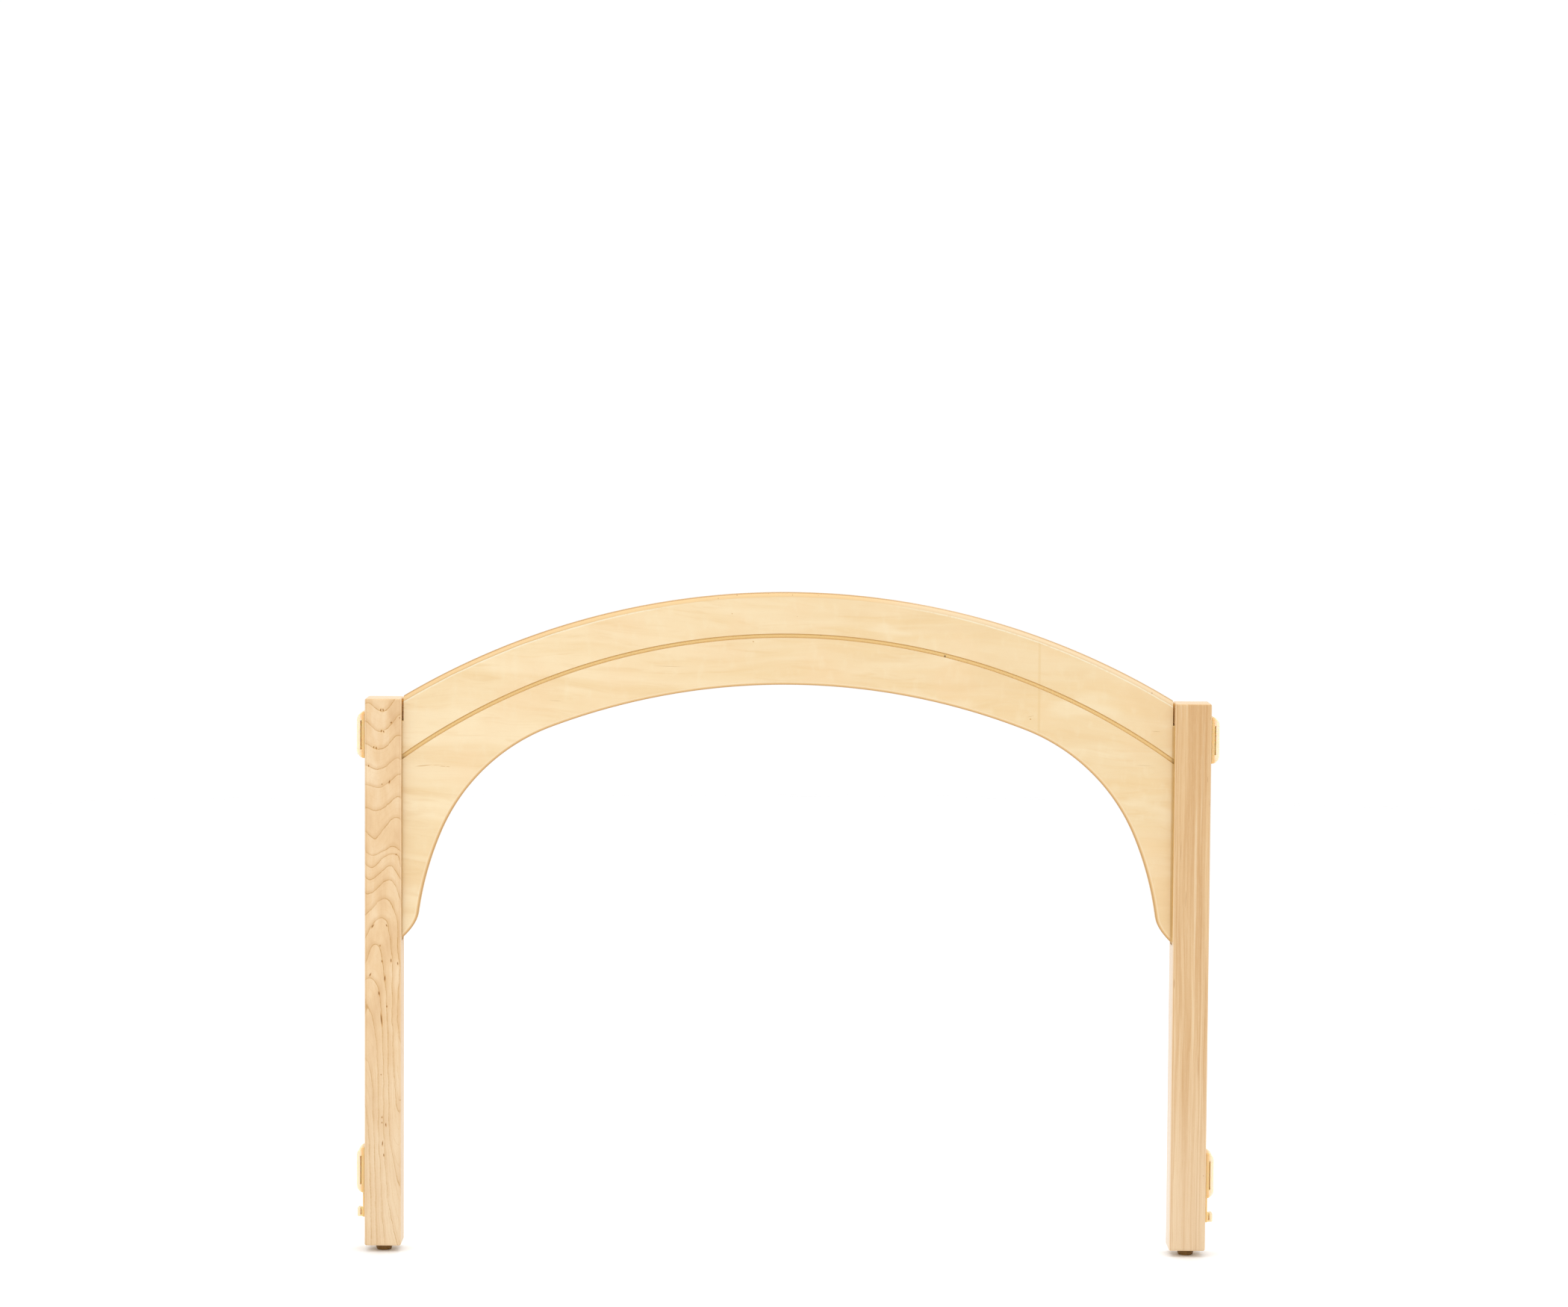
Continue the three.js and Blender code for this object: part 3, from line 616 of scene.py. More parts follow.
def birch_plywood():
    """Arch panel: pale rotary-cut face veneer, plies showing where the edges are rounded
    over and in the routed line."""
    p = Paint("birch_plywood_lacquered")
    mm = p.vmath("SCALE", p.object, scale=1000.0)
    x, y, z = p.split(mm)
    nx, ny, nz = p.split(p.normal)
    ay, sx, facing = p.math("ABSOLUTE", y), p.math("ABSOLUTE", x), p.math("ABSOLUTE", ny)
    # face figure, running along X with a slight lean
    lean = p.math("MULTIPLY_ADD", x, 0.045, z)
    bend = p.noise(p.join(p.math("MULTIPLY", x, 0.006), p.math("MULTIPLY", y, 0.01), p.math("MULTIPLY", z, 0.012)), 1.0, 2.0, 0.5)
    lean = p.math("ADD", lean, p.math("MULTIPLY", p.math("SUBTRACT", bend, 0.5), 34.0))

    def veneer(along, across, detail, rough, distortion=0.0):
        v = p.join(p.math("MULTIPLY", x, along), p.math("MULTIPLY", y, along * 2), p.math("MULTIPLY", lean, across))
        return p.noise(v, 1.0, detail, rough, distortion)
    broad = veneer(0.0035, 0.03, 3.0, 0.55, 0.6)
    figure = veneer(0.014, 0.12, 3.0, 0.55, 0.9)
    streak = veneer(0.03, 0.9, 4.0, 0.65)
    hair = veneer(0.2, 4.0, 3.0, 0.6)
    cloud = p.noise(mm, 0.014, 3.0, 0.5)
    mottle = p.noise(p.join(p.math("MULTIPLY", x, 0.09), p.math("MULTIPLY", y, 0.1), p.math("MULTIPLY", z, 0.05)), 1.0, 3.0, 0.55)
    # painted light: the face is paler towards the left and darker towards the right, as the light falls stronger from
    # the left
    side = p.math("DIVIDE", p.math("ADD", x, 417.0), 834.0)
    face = p.ramp(side, [(0.02, srgb(255, 231, 190)), (0.28, srgb(253, 227, 184)), (0.55, srgb(249, 222, 178)), (0.98, srgb(246, 219, 174))])
    face = p.mix(p.step(broad, 0.4, 0.66, 0.0, 0.72), face, srgb(244, 211, 158))
    face = p.mix(p.step(broad, 0.26, 0.44, 0.5, 0.0), face, srgb(255, 236, 198))
    face = p.mix(p.step(figure, 0.5, 0.74, 0.0, 0.48), face, srgb(239, 203, 148))
    face = p.mix(p.step(figure, 0.24, 0.45, 0.16, 0.0), face, srgb(255, 236, 200))
    face = p.mix(p.step(streak, 0.52, 0.8, 0.0, 0.2), face, srgb(234, 198, 144))
    face = p.mix(p.step(streak, 0.26, 0.44, 0.07, 0.0), face, srgb(255, 236, 200))
    face = p.mix(p.step(hair, 0.54, 0.78, 0.0, 0.14), face, srgb(228, 190, 134))
    face = p.mix(p.step(cloud, 0.46, 0.7, 0.0, 0.4), face, srgb(249, 214, 166))
    face = p.mix(p.step(mottle, 0.5, 0.75, 0.0, 0.2), face, srgb(255, 238, 202))
    # livelier figure towards the right
    swirl = p.noise(p.join(p.math("MULTIPLY", x, 0.011), p.math("MULTIPLY", y, 0.02), p.math("MULTIPLY", lean, 0.034)), 1.0, 2.5, 0.45, 0.45)
    lively = p.step(x, -60.0, 160.0, 0.3, 1.0)
    face = p.mix(p.math("MULTIPLY", p.step(swirl, 0.5, 0.68, 0.0, 0.36), lively), face, srgb(239, 204, 152))
    face = p.mix(p.math("MULTIPLY", p.step(swirl, 0.32, 0.47, 0.4, 0.0), lively), face, srgb(255, 236, 200))
    # faint joint in the face veneer
    seam = p.step(p.math("ABSOLUTE", p.math("SUBTRACT", x, 271.1)), 0.7, 2.0, 1.0, 0.0)
    face = p.mix(p.math("MULTIPLY", seam, 0.45), face, srgb(236, 200, 142))
    f = -9.0
    marks = [(-61.4, f, 697.5, 0.5, 0.6, 0.5, 0), (261.9, f, 585.4, 0.8, 0.6, 0.7, 0), (-38.3, f, 667.5, 0.9, 0.6, 0.5, 20),
             (-394.8, f, 530.6, 7.2, 0.6, 0.34, -6), (-373.6, f, 530.0, 3.0, 0.6, 0.24, 3), (-368.0, f, 529.6, 2.2, 0.6, 0.2, 5)]
    dim = [(386.0, f, 536.0, 7.5, 0.6, 0.26, 2), (398.0, f, 573.0, 4.5, 0.6, 0.26, 3), (-380.5, f, 531.3, 3.0, 0.6, 0.16, -3),
           (-129.0, f, 640.0, 14.0, 0.6, 0.25, 2), (-252.0, f, 602.0, 6.0, 0.6, 0.25, 4), (215.0, f, 640.0, 5.0, 0.6, 0.25, -6),
           (9.0, f, 695.0, 0.5, 0.6, 0.4, 0), (262.0, f, 588.4, 3.2, 0.6, 0.25, -14)]
    face = p.mix(p.math("MULTIPLY", ellipse_marks(p, mm, marks, 0.45), 0.7), face, srgb(190, 132, 30))
    face = p.mix(p.math("MULTIPLY", ellipse_marks(p, mm, dim, 0.5), 0.36), face, srgb(172, 124, 56))
    # plies through the thickness: 13 of 1.385 mm, long grain and cross grain in turn
    ply = p.math("DIVIDE", p.math("ADD", y, 9.0), 18.0 / 13.0)
    index = p.math("FLOOR", ply)
    cross = p.math("MODULO", index, 2.0)
    inside = p.math("ABSOLUTE", p.math("SUBTRACT", p.math("FRACT", ply), 0.5))
    glue = p.step(inside, 0.43, 0.5)
    each = p.noise(p.join(p.math("MULTIPLY", index, 7.3), p.math("MULTIPLY", x, 0.004), p.math("MULTIPLY", z, 0.004)), 1.0, 1.0)
    endg = p.noise(p.join(p.math("MULTIPLY", x, 0.9), p.math("MULTIPLY", index, 3.1), p.math("MULTIPLY", z, 0.9)), 1.0, 4.0, 0.7)
    long_ = p.mix(p.step(each, 0.35, 0.65), srgb(248, 214, 160), srgb(242, 204, 148))
    cross_ = p.mix(p.step(endg, 0.35, 0.68), srgb(228, 180, 118), srgb(242, 200, 142))
    edge = p.mix(cross, long_, cross_)
    edge = p.mix(p.math("MULTIPLY", glue, 0.4), edge, srgb(196, 142, 84))
    # a few gaps in the cross plies, seen as short dark ticks
    tick = p.step(p.noise(p.join(p.math("MULTIPLY", x, 0.35), p.math("MULTIPLY", index, 5.7), 0.0), 1.0, 1.0), 0.79, 0.83)
    edge = p.mix(p.math("MULTIPLY", tick, 0.55), edge, srgb(120, 76, 30))
    skin = p.step(ay, 7.0, 8.0)          # still the face veneer
    edge = p.mix(p.math("MULTIPLY", skin, 0.65), edge, srgb(249, 212, 158))
    # darker tone across the round-overs: the cross plies' own tone, with painted shade where the round-over faces down
    roundover_tone_and_shade = p.math("MULTIPLY", p.step(facing, 0.7, 0.3), p.step(facing, 0.03, 0.12))
    edge = p.mix(p.math("MULTIPLY", roundover_tone_and_shade, p.step(nz, 0.2, -0.3, 0.5, 0.8)), edge, srgb(180, 130, 62))
    col = p.mix(p.step(facing, 0.9, 0.985, 1.0, 0.0), face, edge)
    # the outer edge was sanded over a little further than the round-over itself
    radial = p.join(x, 0.0, p.math("SUBTRACT", z, PANEL_TOP - OUTER_R))
    rim = p.math("SUBTRACT", OUTER_R, p.vmath("LENGTH", radial))
    uneven = p.math("MULTIPLY", p.math("SUBTRACT", p.noise(mm, 0.05, 2.0), 0.5), 0.9)
    rim = p.math("ADD", rim, uneven)
    slope = p.step(sx, 150.0, 290.0)
    right = p.step(x, 60.0, 170.0)
    band = p.mix(slope, srgb(249, 210, 152), srgb(246, 206, 148))
    band = p.mix(right, band, srgb(248, 219, 176))
    col = p.mix(p.math("MULTIPLY", p.step(rim, 5.0, 4.4, 0.0, 0.85), p.step(facing, 0.6, 0.8)), col, band)
    pale = p.math("MULTIPLY", p.math("MULTIPLY", p.step(rim, 5.5, 4.6, 0.0, 0.6), p.step(facing, 0.12, 0.3)), right)
    col = p.mix(pale, col, srgb(248, 219, 178))
    shade_line = p.math("MULTIPLY", p.step(rim, 4.0, 4.7), p.step(rim, 4.9, 5.5, 1.0, 0.0))
    shade_line = p.math("MULTIPLY", shade_line, p.math("MULTIPLY_ADD", right, -0.6, 1.0))
    col = p.mix(p.math("MULTIPLY", shade_line, p.math("MULTIPLY_ADD", slope, 0.4, 0.14)), col, srgb(208, 158, 88))
    # darker outline along the top of the outer round-over, weaker on the right
    top = p.math("MULTIPLY", p.step(rim, 1.8, 0.4), p.step(facing, 0.85, 0.45))
    col = p.mix(p.math("MULTIPLY", top, p.math("MULTIPLY_ADD", slope, 0.2, p.math("MULTIPLY_ADD", right, -0.2, 0.6))), col, srgb(196, 148, 82))
    dots = [(-56.2, -8.0, 717.4, 0.55, 3.0, 0.5, 0), (-22.3, -8.0, 719.3, 0.4, 3.0, 0.35, 0), (3.8, -8.0, 718.0, 0.5, 3.0, 0.45, 0),
            (31.6, -8.0, 718.0, 0.35, 3.0, 0.35, 0), (-76.4, -8.0, 714.0, 0.5, 3.0, 0.4, 0), (393.0, -8.0, 614.6, 0.8, 3.0, 0.6, 20)]
    col = p.mix(p.math("MULTIPLY", ellipse_marks(p, mm, dots, 0.4), 0.6), col, srgb(150, 100, 40))
    # painted highlight: a pale line along the arris of the outer round-over on the slopes
    arris_highlight = p.math("MULTIPLY", p.step(rim, 4.9, 5.4), p.step(rim, 6.0, 6.9, 1.0, 0.0))
    broken = p.step(p.noise(p.vmath("SCALE", mm, scale=0.5), 1.0, 2.0), 0.28, 0.5, 0.3, 1.0)
    arris_highlight = p.math("MULTIPLY", p.math("MULTIPLY", arris_highlight, broken), p.step(sx, 90.0, 180.0))
    col = p.mix(p.math("MULTIPLY", arris_highlight, 0.72), col, srgb(255, 244, 216))
    # painted highlight: a fine pale line where the opening's round-over starts, then a darker band across that
    # round-over
    under = p.step(rim, 20.0, 24.0)
    opening_highlight = p.math("MULTIPLY", p.step(facing, 0.93, 0.975), p.step(facing, 0.982, 0.996, 1.0, 0.0))
    col = p.mix(p.math("MULTIPLY", p.math("MULTIPLY", opening_highlight, under), 0.5), col, srgb(255, 236, 204))
    opening_band = p.math("MULTIPLY", p.math("MULTIPLY", p.step(facing, 0.98, 0.66), p.step(facing, 0.1, 0.25)), under)
    col = p.mix(p.math("MULTIPLY", opening_band, 0.66), col, srgb(200, 148, 78))
    # routed line: a shaded upper side, a golden middle and a finer lower line
    middle = p.vmath("LENGTH", p.join(x, 0.0, p.math("SUBTRACT", z, ROUT_Z)))
    rel = p.math("SUBTRACT", middle, ROUT_R)
    routed = p.math("MULTIPLY", p.step(ay, 8.75, 8.2), p.step(p.math("ABSOLUTE", rel), 2.6, 2.9, 1.0, 0.0))
    floor = p.ramp(p.math("DIVIDE", p.math("ADD", rel, 2.5), 5.0),
                   [(0.0, (0.8, 0.5, 0.18, 1.0)), (0.2, (0.96, 0.66, 0.27, 1.0)), (0.5, (1.08, 0.78, 0.34, 1.0)), (0.7, (1.0, 0.68, 0.26, 1.0)),
                    (0.86, (0.68, 0.4, 0.12, 1.0)), (1.0, (0.58, 0.33, 0.09, 1.0))])
    floor = p.mix(p.step(endg, 0.4, 0.75, 0.0, 0.3), floor, (0.78, 0.48, 0.15, 1.0))
    ticks = ellipse_marks(p, mm, [(-144.7, -7.5, 666.0, 0.6, 2.6, 3.0, 0), (-281.0, -7.5, 632.8, 0.5, 2.6, 3.0, 10),
                                  (168.9, -7.5, 652.8, 0.9, 2.6, 1.3, 0), (297.9, -7.5, 616.4, 0.5, 2.6, 3.0, -10),
                                  (325.4, -7.5, 604.4, 0.6, 2.6, 3.0, -10), (34.5, -7.5, 675.5, 0.8, 2.6, 0.8, 0)], 0.3)
    floor = p.mix(p.math("MULTIPLY", ticks, 0.8), floor, srgb(90, 54, 18))
    col = p.mix(routed, col, floor)
    # painted shade on the shoulder's end beside each post's top, in the slit, and a thin line where the panel enters a
    # post: a dark joint with painted shade beside it
    shoulder_slit_shade = p.math("MULTIPLY", p.step(sx, POST_INNER - SHOULDER_GAP - 0.12, POST_INNER - SHOULDER_GAP - 0.02), p.step(z, SHOULDER_Z - 1.0, SHOULDER_Z))
    col = p.mix(p.math("MULTIPLY", shoulder_slit_shade, 0.95), col, (1.1, 0.76, 0.25, 1.0))
    seat_joint_and_shade = p.math("MULTIPLY", p.step(x, POST_INNER - 2.6, POST_INNER - 1.9), 0.62)
    seat_joint_and_shade = p.math("MAXIMUM", seat_joint_and_shade, p.math("MULTIPLY", p.step(x, -POST_INNER + 1.3, -POST_INNER + 0.6), 0.5))
    seat_joint_and_shade = p.math("MULTIPLY", seat_joint_and_shade, p.step(z, SHOULDER_Z, SHOULDER_Z - 1.5))
    col = p.mix(seat_joint_and_shade, col, (0.66, 0.39, 0.1, 1.0))
    p.color(col, (0.82, 0.828, 0.82))
    dull = p.math("MULTIPLY", p.step(facing, 0.97, 0.8), 0.3)
    p.gloss(p.math("ADD", p.math("ADD", p.math("MULTIPLY_ADD", streak, 0.16, 0.25), p.math("MULTIPLY", shoulder_slit_shade, 0.3)), dull), coat=0.2, coat_roughness=0.12, specular=0.4)
    p.bump(p.math("ADD", p.math("MULTIPLY", hair, 0.5), p.math("MULTIPLY", p.math("MULTIPLY", glue, p.step(facing, 0.9, 0.7)), -1.0)), 0.16, 0.06)
    return p.mat


# ------------------------------------------------------------ plastics and metal

def cream_moulding():
    p = Paint("cream_moulded_plastic")
    mm = p.vmath("SCALE", p.object, scale=1000.0)
    cloud = p.noise(mm, 0.09, 3.0, 0.5)
    grit = p.noise(mm, 5.5, 3.0, 0.6)
    flow = p.noise(p.vmath("MULTIPLY", mm, (0.25, 0.12, 0.06)), 1.0, 2.0, 0.5)
    body = p.ramp(cloud, [(0.3, srgb(248, 222, 180)), (0.55, srgb(252, 229, 192)), (0.75, srgb(254, 235, 204))])
    body = p.mix(p.step(flow, 0.5, 0.75, 0.0, 0.3), body, srgb(244, 212, 164))
    body = p.mix(p.step(grit, 0.62, 0.8, 0.0, 0.2), body, srgb(236, 204, 156))
    # painted light: the thick base beside the post is painted deeper in tone as shade and warm bounce from the wood,
    # the thin outer strip paler as a highlight
    x, y, z = p.split(mm)
    out = p.math("SUBTRACT", p.math("ABSOLUTE", x), POST_OUTER)
    body = p.mix(p.step(out, 4.6, 3.4, 0.0, 0.9), body, srgb(246, 205, 138))
    body = p.mix(p.step(out, 5.0, 6.4, 0.0, 0.6), body, srgb(255, 240, 214))
    # painted shade: the inside of the slot is tinted a saturated golden, the tone the shaded recess shows
    inside = p.math("MULTIPLY", p.step(out, 3.4, 3.8), p.step(out, 5.2, 5.6, 1.0, 0.0))
    inside = p.math("MULTIPLY", inside, p.step(p.math("ABSOLUTE", y), 13.2, 13.7, 1.0, 0.0))
    body = p.mix(p.math("MULTIPLY", inside, 0.95), body, (1.1, 0.88, 0.44, 1.0))
    p.color(body, (0.94, 0.905, 0.9))
    p.bsdf.inputs["Subsurface Weight"].default_value = 0.6
    p.bsdf.inputs["Subsurface Radius"].default_value = (1.0, 0.62, 0.32)
    p.bsdf.inputs["Subsurface Scale"].default_value = 0.005
    p.gloss(p.math("MULTIPLY_ADD", grit, 0.14, 0.34), coat=0.1, coat_roughness=0.25, specular=0.45)
    p.bump(grit, 0.12, 0.05)
    return p.mat


def brown_nylon():
    p = Paint("dark_brown_moulded_nylon")
    mm = p.vmath("SCALE", p.object, scale=1000.0)
    x, y, z = p.split(mm)
    grit = p.noise(mm, 4.0, 4.0, 0.6)
    scuff = p.noise(p.join(x, y, p.math("MULTIPLY", z, 4.0)), 0.55, 4.0, 0.65)
    body = p.ramp(scuff, [(0.3, srgb(92, 60, 12)), (0.55, srgb(118, 82, 20)), (0.78, srgb(140, 102, 34))])
    # the rim that meets the floor is rubbed lighter and duller
    wear_and_highlight = p.math("MULTIPLY", p.step(z, 2.2, 0.2), p.step(scuff, 0.4, 0.7))
    body = p.mix(p.math("MULTIPLY", wear_and_highlight, 0.45), body, srgb(150, 122, 72))
    p.color(body)
    p.gloss(p.math("ADD", p.math("MULTIPLY", grit, 0.2), p.math("MULTIPLY_ADD", wear_and_highlight, 0.3, 0.3)), coat=0.05, coat_roughness=0.3)
    p.bump(p.math("ADD", p.math("MULTIPLY", grit, 0.5), scuff), 0.2, 0.07)
    return p.mat


def zinc_steel():
    p = Paint("bright_zinc_plated_steel")
    mm = p.vmath("SCALE", p.object, scale=1000.0)
    cloud = p.noise(mm, 0.6, 3.0, 0.5)
    brush = p.noise(p.vmath("MULTIPLY", mm, (9.0, 9.0, 0.8)), 1.0, 3.0, 0.6)
    body = p.ramp(cloud, [(0.3, srgb(176, 180, 186)), (0.55, srgb(196, 198, 200)), (0.75, srgb(206, 203, 194))])
    body = p.mix(p.step(brush, 0.55, 0.8, 0.0, 0.3), body, srgb(140, 144, 150))
    p.color(body)
    p.bsdf.inputs["Metallic"].default_value = 1.0
    p.gloss(p.math("MULTIPLY_ADD", brush, 0.2, 0.22))
    p.bump(brush, 0.15, 0.03)
    return p.mat


MATERIALS = {
    "maple_flat_sawn": maple_flat_sawn(),
    "maple_quarter_sawn": maple_quarter_sawn(),
    "birch_plywood": birch_plywood(),
    "cream_moulding": cream_moulding(),
    "brown_nylon": brown_nylon(),
    "zinc_steel": zinc_steel(),
}


def dress(obj, slot, body, *nodes):
    """Gives a finished piece its material, body and the CAD nodes it stands for."""
    obj.data.materials.clear()
    obj.data.materials.append(MATERIALS[slot])
    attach(obj, body)
    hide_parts(*nodes)
    return obj


# ------------------------------------------------------------ posts

def post(name):
    """Drawn as the left post: outer face at -POST_OUTER, housing facing +X."""
    h = POST_SIDE / 2
    obj = rounded_box(name, (-POST_OUTER, -h, POST_LOW), (-POST_INNER, h, POST_HIGH), POST_EASE, 6)
    cutters = [rounded_box("housing", (-POST_INNER - HOUSING_DEPTH, -HOUSING_HALF, HOUSING_LOW),
                           (-POST_INNER + 6, HOUSING_HALF, HOUSING_HIGH), 0.9, 3)]
    bore = turned("bore", [(0, 5), (6.9, 5), (6.9, 7.4), (6.5, 7.9), (6.5, 26.0), (4.6, 26.0), (4.6, 46.0), (0, 48.0)], 48)
    cutters.append(move(bore, -POST_AXIS, 0, 0))
    for z in (UPPER_Z, LOWER_Z):
        for dz in (-SCREW_DZ, SCREW_DZ):
            pilot = turned("pilot", [(0, -24), (2.4, -21), (2.4, 2), (0, 2)], 24)
            pilot.data.transform(Matrix.Rotation(-math.pi / 2, 4, "Y"))
            cutters.append(move(pilot, -POST_OUTER, 0, z + dz))
    combine(obj, cutters)
    return shade(obj)


left_post = post("left_post_timber")
right_post = mirror_x(left_post, "right_post_timber")
dress(left_post, "maple_flat_sawn", "arch_frame", "left_post")
dress(right_post, "maple_quarter_sawn", "arch_frame", "right_post")


# ------------------------------------------------------------ arch panel

def unit(a):
    return np.array([math.sin(math.radians(a)), math.cos(math.radians(a))])


def panel_half():
    """Right half of the opening's edge from the crown to the tail, carried on past the
    post's face, with the outward normal at each point (pointing into the timber)."""
    c1 = np.array([0, CROWN_UNDER - CROWN_R])
    p1 = c1 + unit(CROWN_A) * CROWN_R
    c2 = p1 - unit(CROWN_A) * HAUNCH_R
    p2 = c2 + unit(HAUNCH_A) * HAUNCH_R
    c3 = p2 - unit(HAUNCH_A) * LEG_R
    leg = math.degrees(math.acos((LEG_END - c3[1]) / LEG_R))
    p3 = c3 + unit(leg) * LEG_R
    along = np.array([math.cos(math.radians(leg)), -math.sin(math.radians(leg))])
    tip = np.array([POST_INNER, TIP_Z])
    q1, q2 = p3 + along * 12, tip + np.array([-8.3, 8.0])
    pts, out = [], []
    for c, r, a0, a1, steps in ((c1, CROWN_R, 0, CROWN_A, 64), (c2, HAUNCH_R, CROWN_A, HAUNCH_A, 52), (c3, LEG_R, HAUNCH_A, leg, 22)):
        for i in range(0 if not pts else 1, steps + 1):
            n = unit(a0 + (a1 - a0) * i / steps)
            pts.append(c + n * r)
            out.append(n)
    for i in range(1, 25):
        t = i / 24
        pts.append((1 - t) ** 3 * p3 + 3 * (1 - t) ** 2 * t * q1 + 3 * (1 - t) * t * t * q2 + t ** 3 * tip)
        d = 3 * (1 - t) ** 2 * (q1 - p3) + 6 * (1 - t) * t * (q2 - q1) + 3 * t * t * (tip - q2)
        d /= np.linalg.norm(d)
        out.append(np.array([-d[1], d[0]]))
    step = np.array([8.3, -8.0]) / math.hypot(8.3, 8.0)
    for k in (2.5, 8.0, 16.0):
        pts.append(tip + step * k)
        out.append(np.array([-step[1], step[0]]))
    return pts, out


def panel_outline(d):
    """Closed outline drawn in by d: over the top from foot to foot, then back along the
    opening."""
    pts, out = panel_half()
    zc = PANEL_TOP - OUTER_R
    inner = [p + n * d for p, n in zip(pts, out)]
    far = math.degrees(math.asin((POST_INNER + 25) / OUTER_R))
    angles = [math.degrees(math.atan2(p[0], p[1] - zc)) for p in pts]
    corner = max(i for i, a in enumerate(angles) if a < far)
    outer = [np.array([0, zc]) + unit(a * far / angles[corner]) * (OUTER_R - d) for a in angles[:corner + 1]]
    foot = inner[-1]
    rest = len(pts) - 1 - corner
    outer += [outer[corner] + (foot - outer[corner]) * k / rest for k in range(1, rest + 1)]
    half_outer, half_inner = outer, inner[:-1]
    over = [(-x, z) for x, z in half_outer[::-1]] + [(x, z) for x, z in half_outer[1:]]
    under = [(x, z) for x, z in half_inner[::-1]] + [(-x, z) for x, z in half_inner[1:]]
    return over + under


def panel_cap():
    """Faces of the strip between the outer edge and the opening's edge."""
    n = 2 * len(panel_half()[0]) - 1
    back = {0: 0, n - 1: n - 1}
    for i in range(n - 2):
        back[n - 2 - i] = n + i
    cap = []
    for i in range(n - 1):
        f = []
        for v in (i, i + 1, back[i + 1], back[i]):
            if v not in f:
                f.append(v)
        cap.append(tuple(f))
    return cap


def rout_cutter(name, face):
    """Round-cornered cutter that follows the routed line on the front or back face."""
    w, d = ROUT_W / 2, ROUT_D
    section = [(-w - 0.35, -1.0), (-w - 0.35, -0.02), (-w, 0.33)]
    section += [(-w, d - 0.8)]
    for k in range(1, 6):
        a = math.radians(90 * k / 5)
        section.append((-w + 0.8 * (1 - math.cos(a)), d - 0.8 + 0.8 * math.sin(a)))
    section += [(-u, v) for u, v in reversed(section)]
    steps, n = 200, len(section)
    verts, faces = [], []
    for i in range(steps + 1):
        a = math.radians(-40 + 80 * i / steps)
        for u, v in section:
            r = ROUT_R + u
            verts.append((r * math.sin(a), face * (PANEL_HALF - v), ROUT_Z + r * math.cos(a)))
    for i in range(steps):
        for k in range(n):
            j = (k + 1) % n
            faces.append((i * n + k, i * n + j, (i + 1) * n + j, (i + 1) * n + k))
    faces.append(tuple(range(n)))
    faces.append(tuple(range(steps * n, (steps + 1) * n))[::-1])
    return mesh_object(name, verts, faces)


def arch_panel():
    obj = slab("arch_panel_plywood", panel_outline, -PANEL_HALF, PANEL_HALF, EDGE_ROUND, 8, panel_cap())
    end, shoulder = POST_INNER + TONGUE, POST_INNER - SHOULDER_GAP
    cutters = []
    for s in (-1, 1):
        a, b = sorted((s * end, s * (end + 60)))
        cutters.append(box("trim", (a, -20, 200), (b, 20, 800)))
        a, b = sorted((s * shoulder, s * (end + 50)))
        cutters.append(box("shoulder", (a, -21, SHOULDER_Z), (b, 21, 790)))
        a, b = sorted((s * POST_INNER, s * (end + 55)))
        cutters.append(box("heel", (a, -22, 250), (b, 22, TIP_Z)))
    cutters += [rout_cutter("rout_front", -1), rout_cutter("rout_back", 1)]
    combine(obj, cutters)
    return shade(obj, 40)


dress(arch_panel(), "birch_plywood", "arch_frame", "arch_panel")


# ------------------------------------------------------------ connectors
# Drawn for the left post: u is measured out from the post's face along -X.

def connector(name, zc, tail):
    h, r, g = BODY_H / 2, 8.7, 0.3

    def outline(d):
        """Flat against the post, quarter-rounded at the top and the bottom."""
        pts = [(g + (r - d) * math.sin(t), h - r + (r - d) * math.cos(t)) for t in np.linspace(0, math.pi / 2, 18)]
        pts += [(g + (r - d) * math.sin(t), -h + r + (r - d) * math.cos(t)) for t in np.linspace(math.pi / 2, math.pi, 18)]
        return [(-POST_OUTER - u, v + zc) for u, v in pts]
    obj = slab(name, outline, -BODY_D / 2, BODY_D / 2, 1.3, 4)
    if tail:
        plate = rounded_box("plate", (-POST_OUTER - 2.6, -10, 37.0), (-POST_OUTER - g, 10, zc - h + 6), 0.0)
        peg = rounded_box("peg", (-POST_OUTER - PROUD, -6, 36.6), (-POST_OUTER - g, 6, 46.2), 0.9, 4)
        combine(obj, [plate, peg], "UNION")
    cutters = []
    u0, u1 = -POST_OUTER - SLOT_U0 - SLOT_W, -POST_OUTER - SLOT_U0
    for s in (-1, 1):
        a, b = sorted((s * NECK_D / 2, s * (BODY_D / 2 + 4)))
        cutters.append(rounded_box("slot", (u0, a, zc - SLOT_H / 2), (u1, b, zc + SLOT_H / 2), 0.5, 3))
        if tail:
            a, b = sorted((s * 2.2, s * 8.0))
            cutters.append(rounded_box("slit", (-POST_OUTER - 5.6, a, 38.6), (-POST_OUTER - 4.3, b, 48.5), 0.4, 3))
    for dz in (-SCREW_DZ, SCREW_DZ):
        sink = turned("sink", [(0, -30), (2.4, -30), (2.4, -2.8), (4.2, -0.4), (4.5, 0.05), (4.5, 2), (0, 2)], 48)
        sink.data.transform(Matrix.Rotation(-math.pi / 2, 4, "Y"))
        cutters.append(move(sink, -POST_OUTER - PROUD, 0, zc + dz))
    combine(obj, cutters)
    soften(obj, 0.28, 2, 50)
    return shade(tidy(obj))


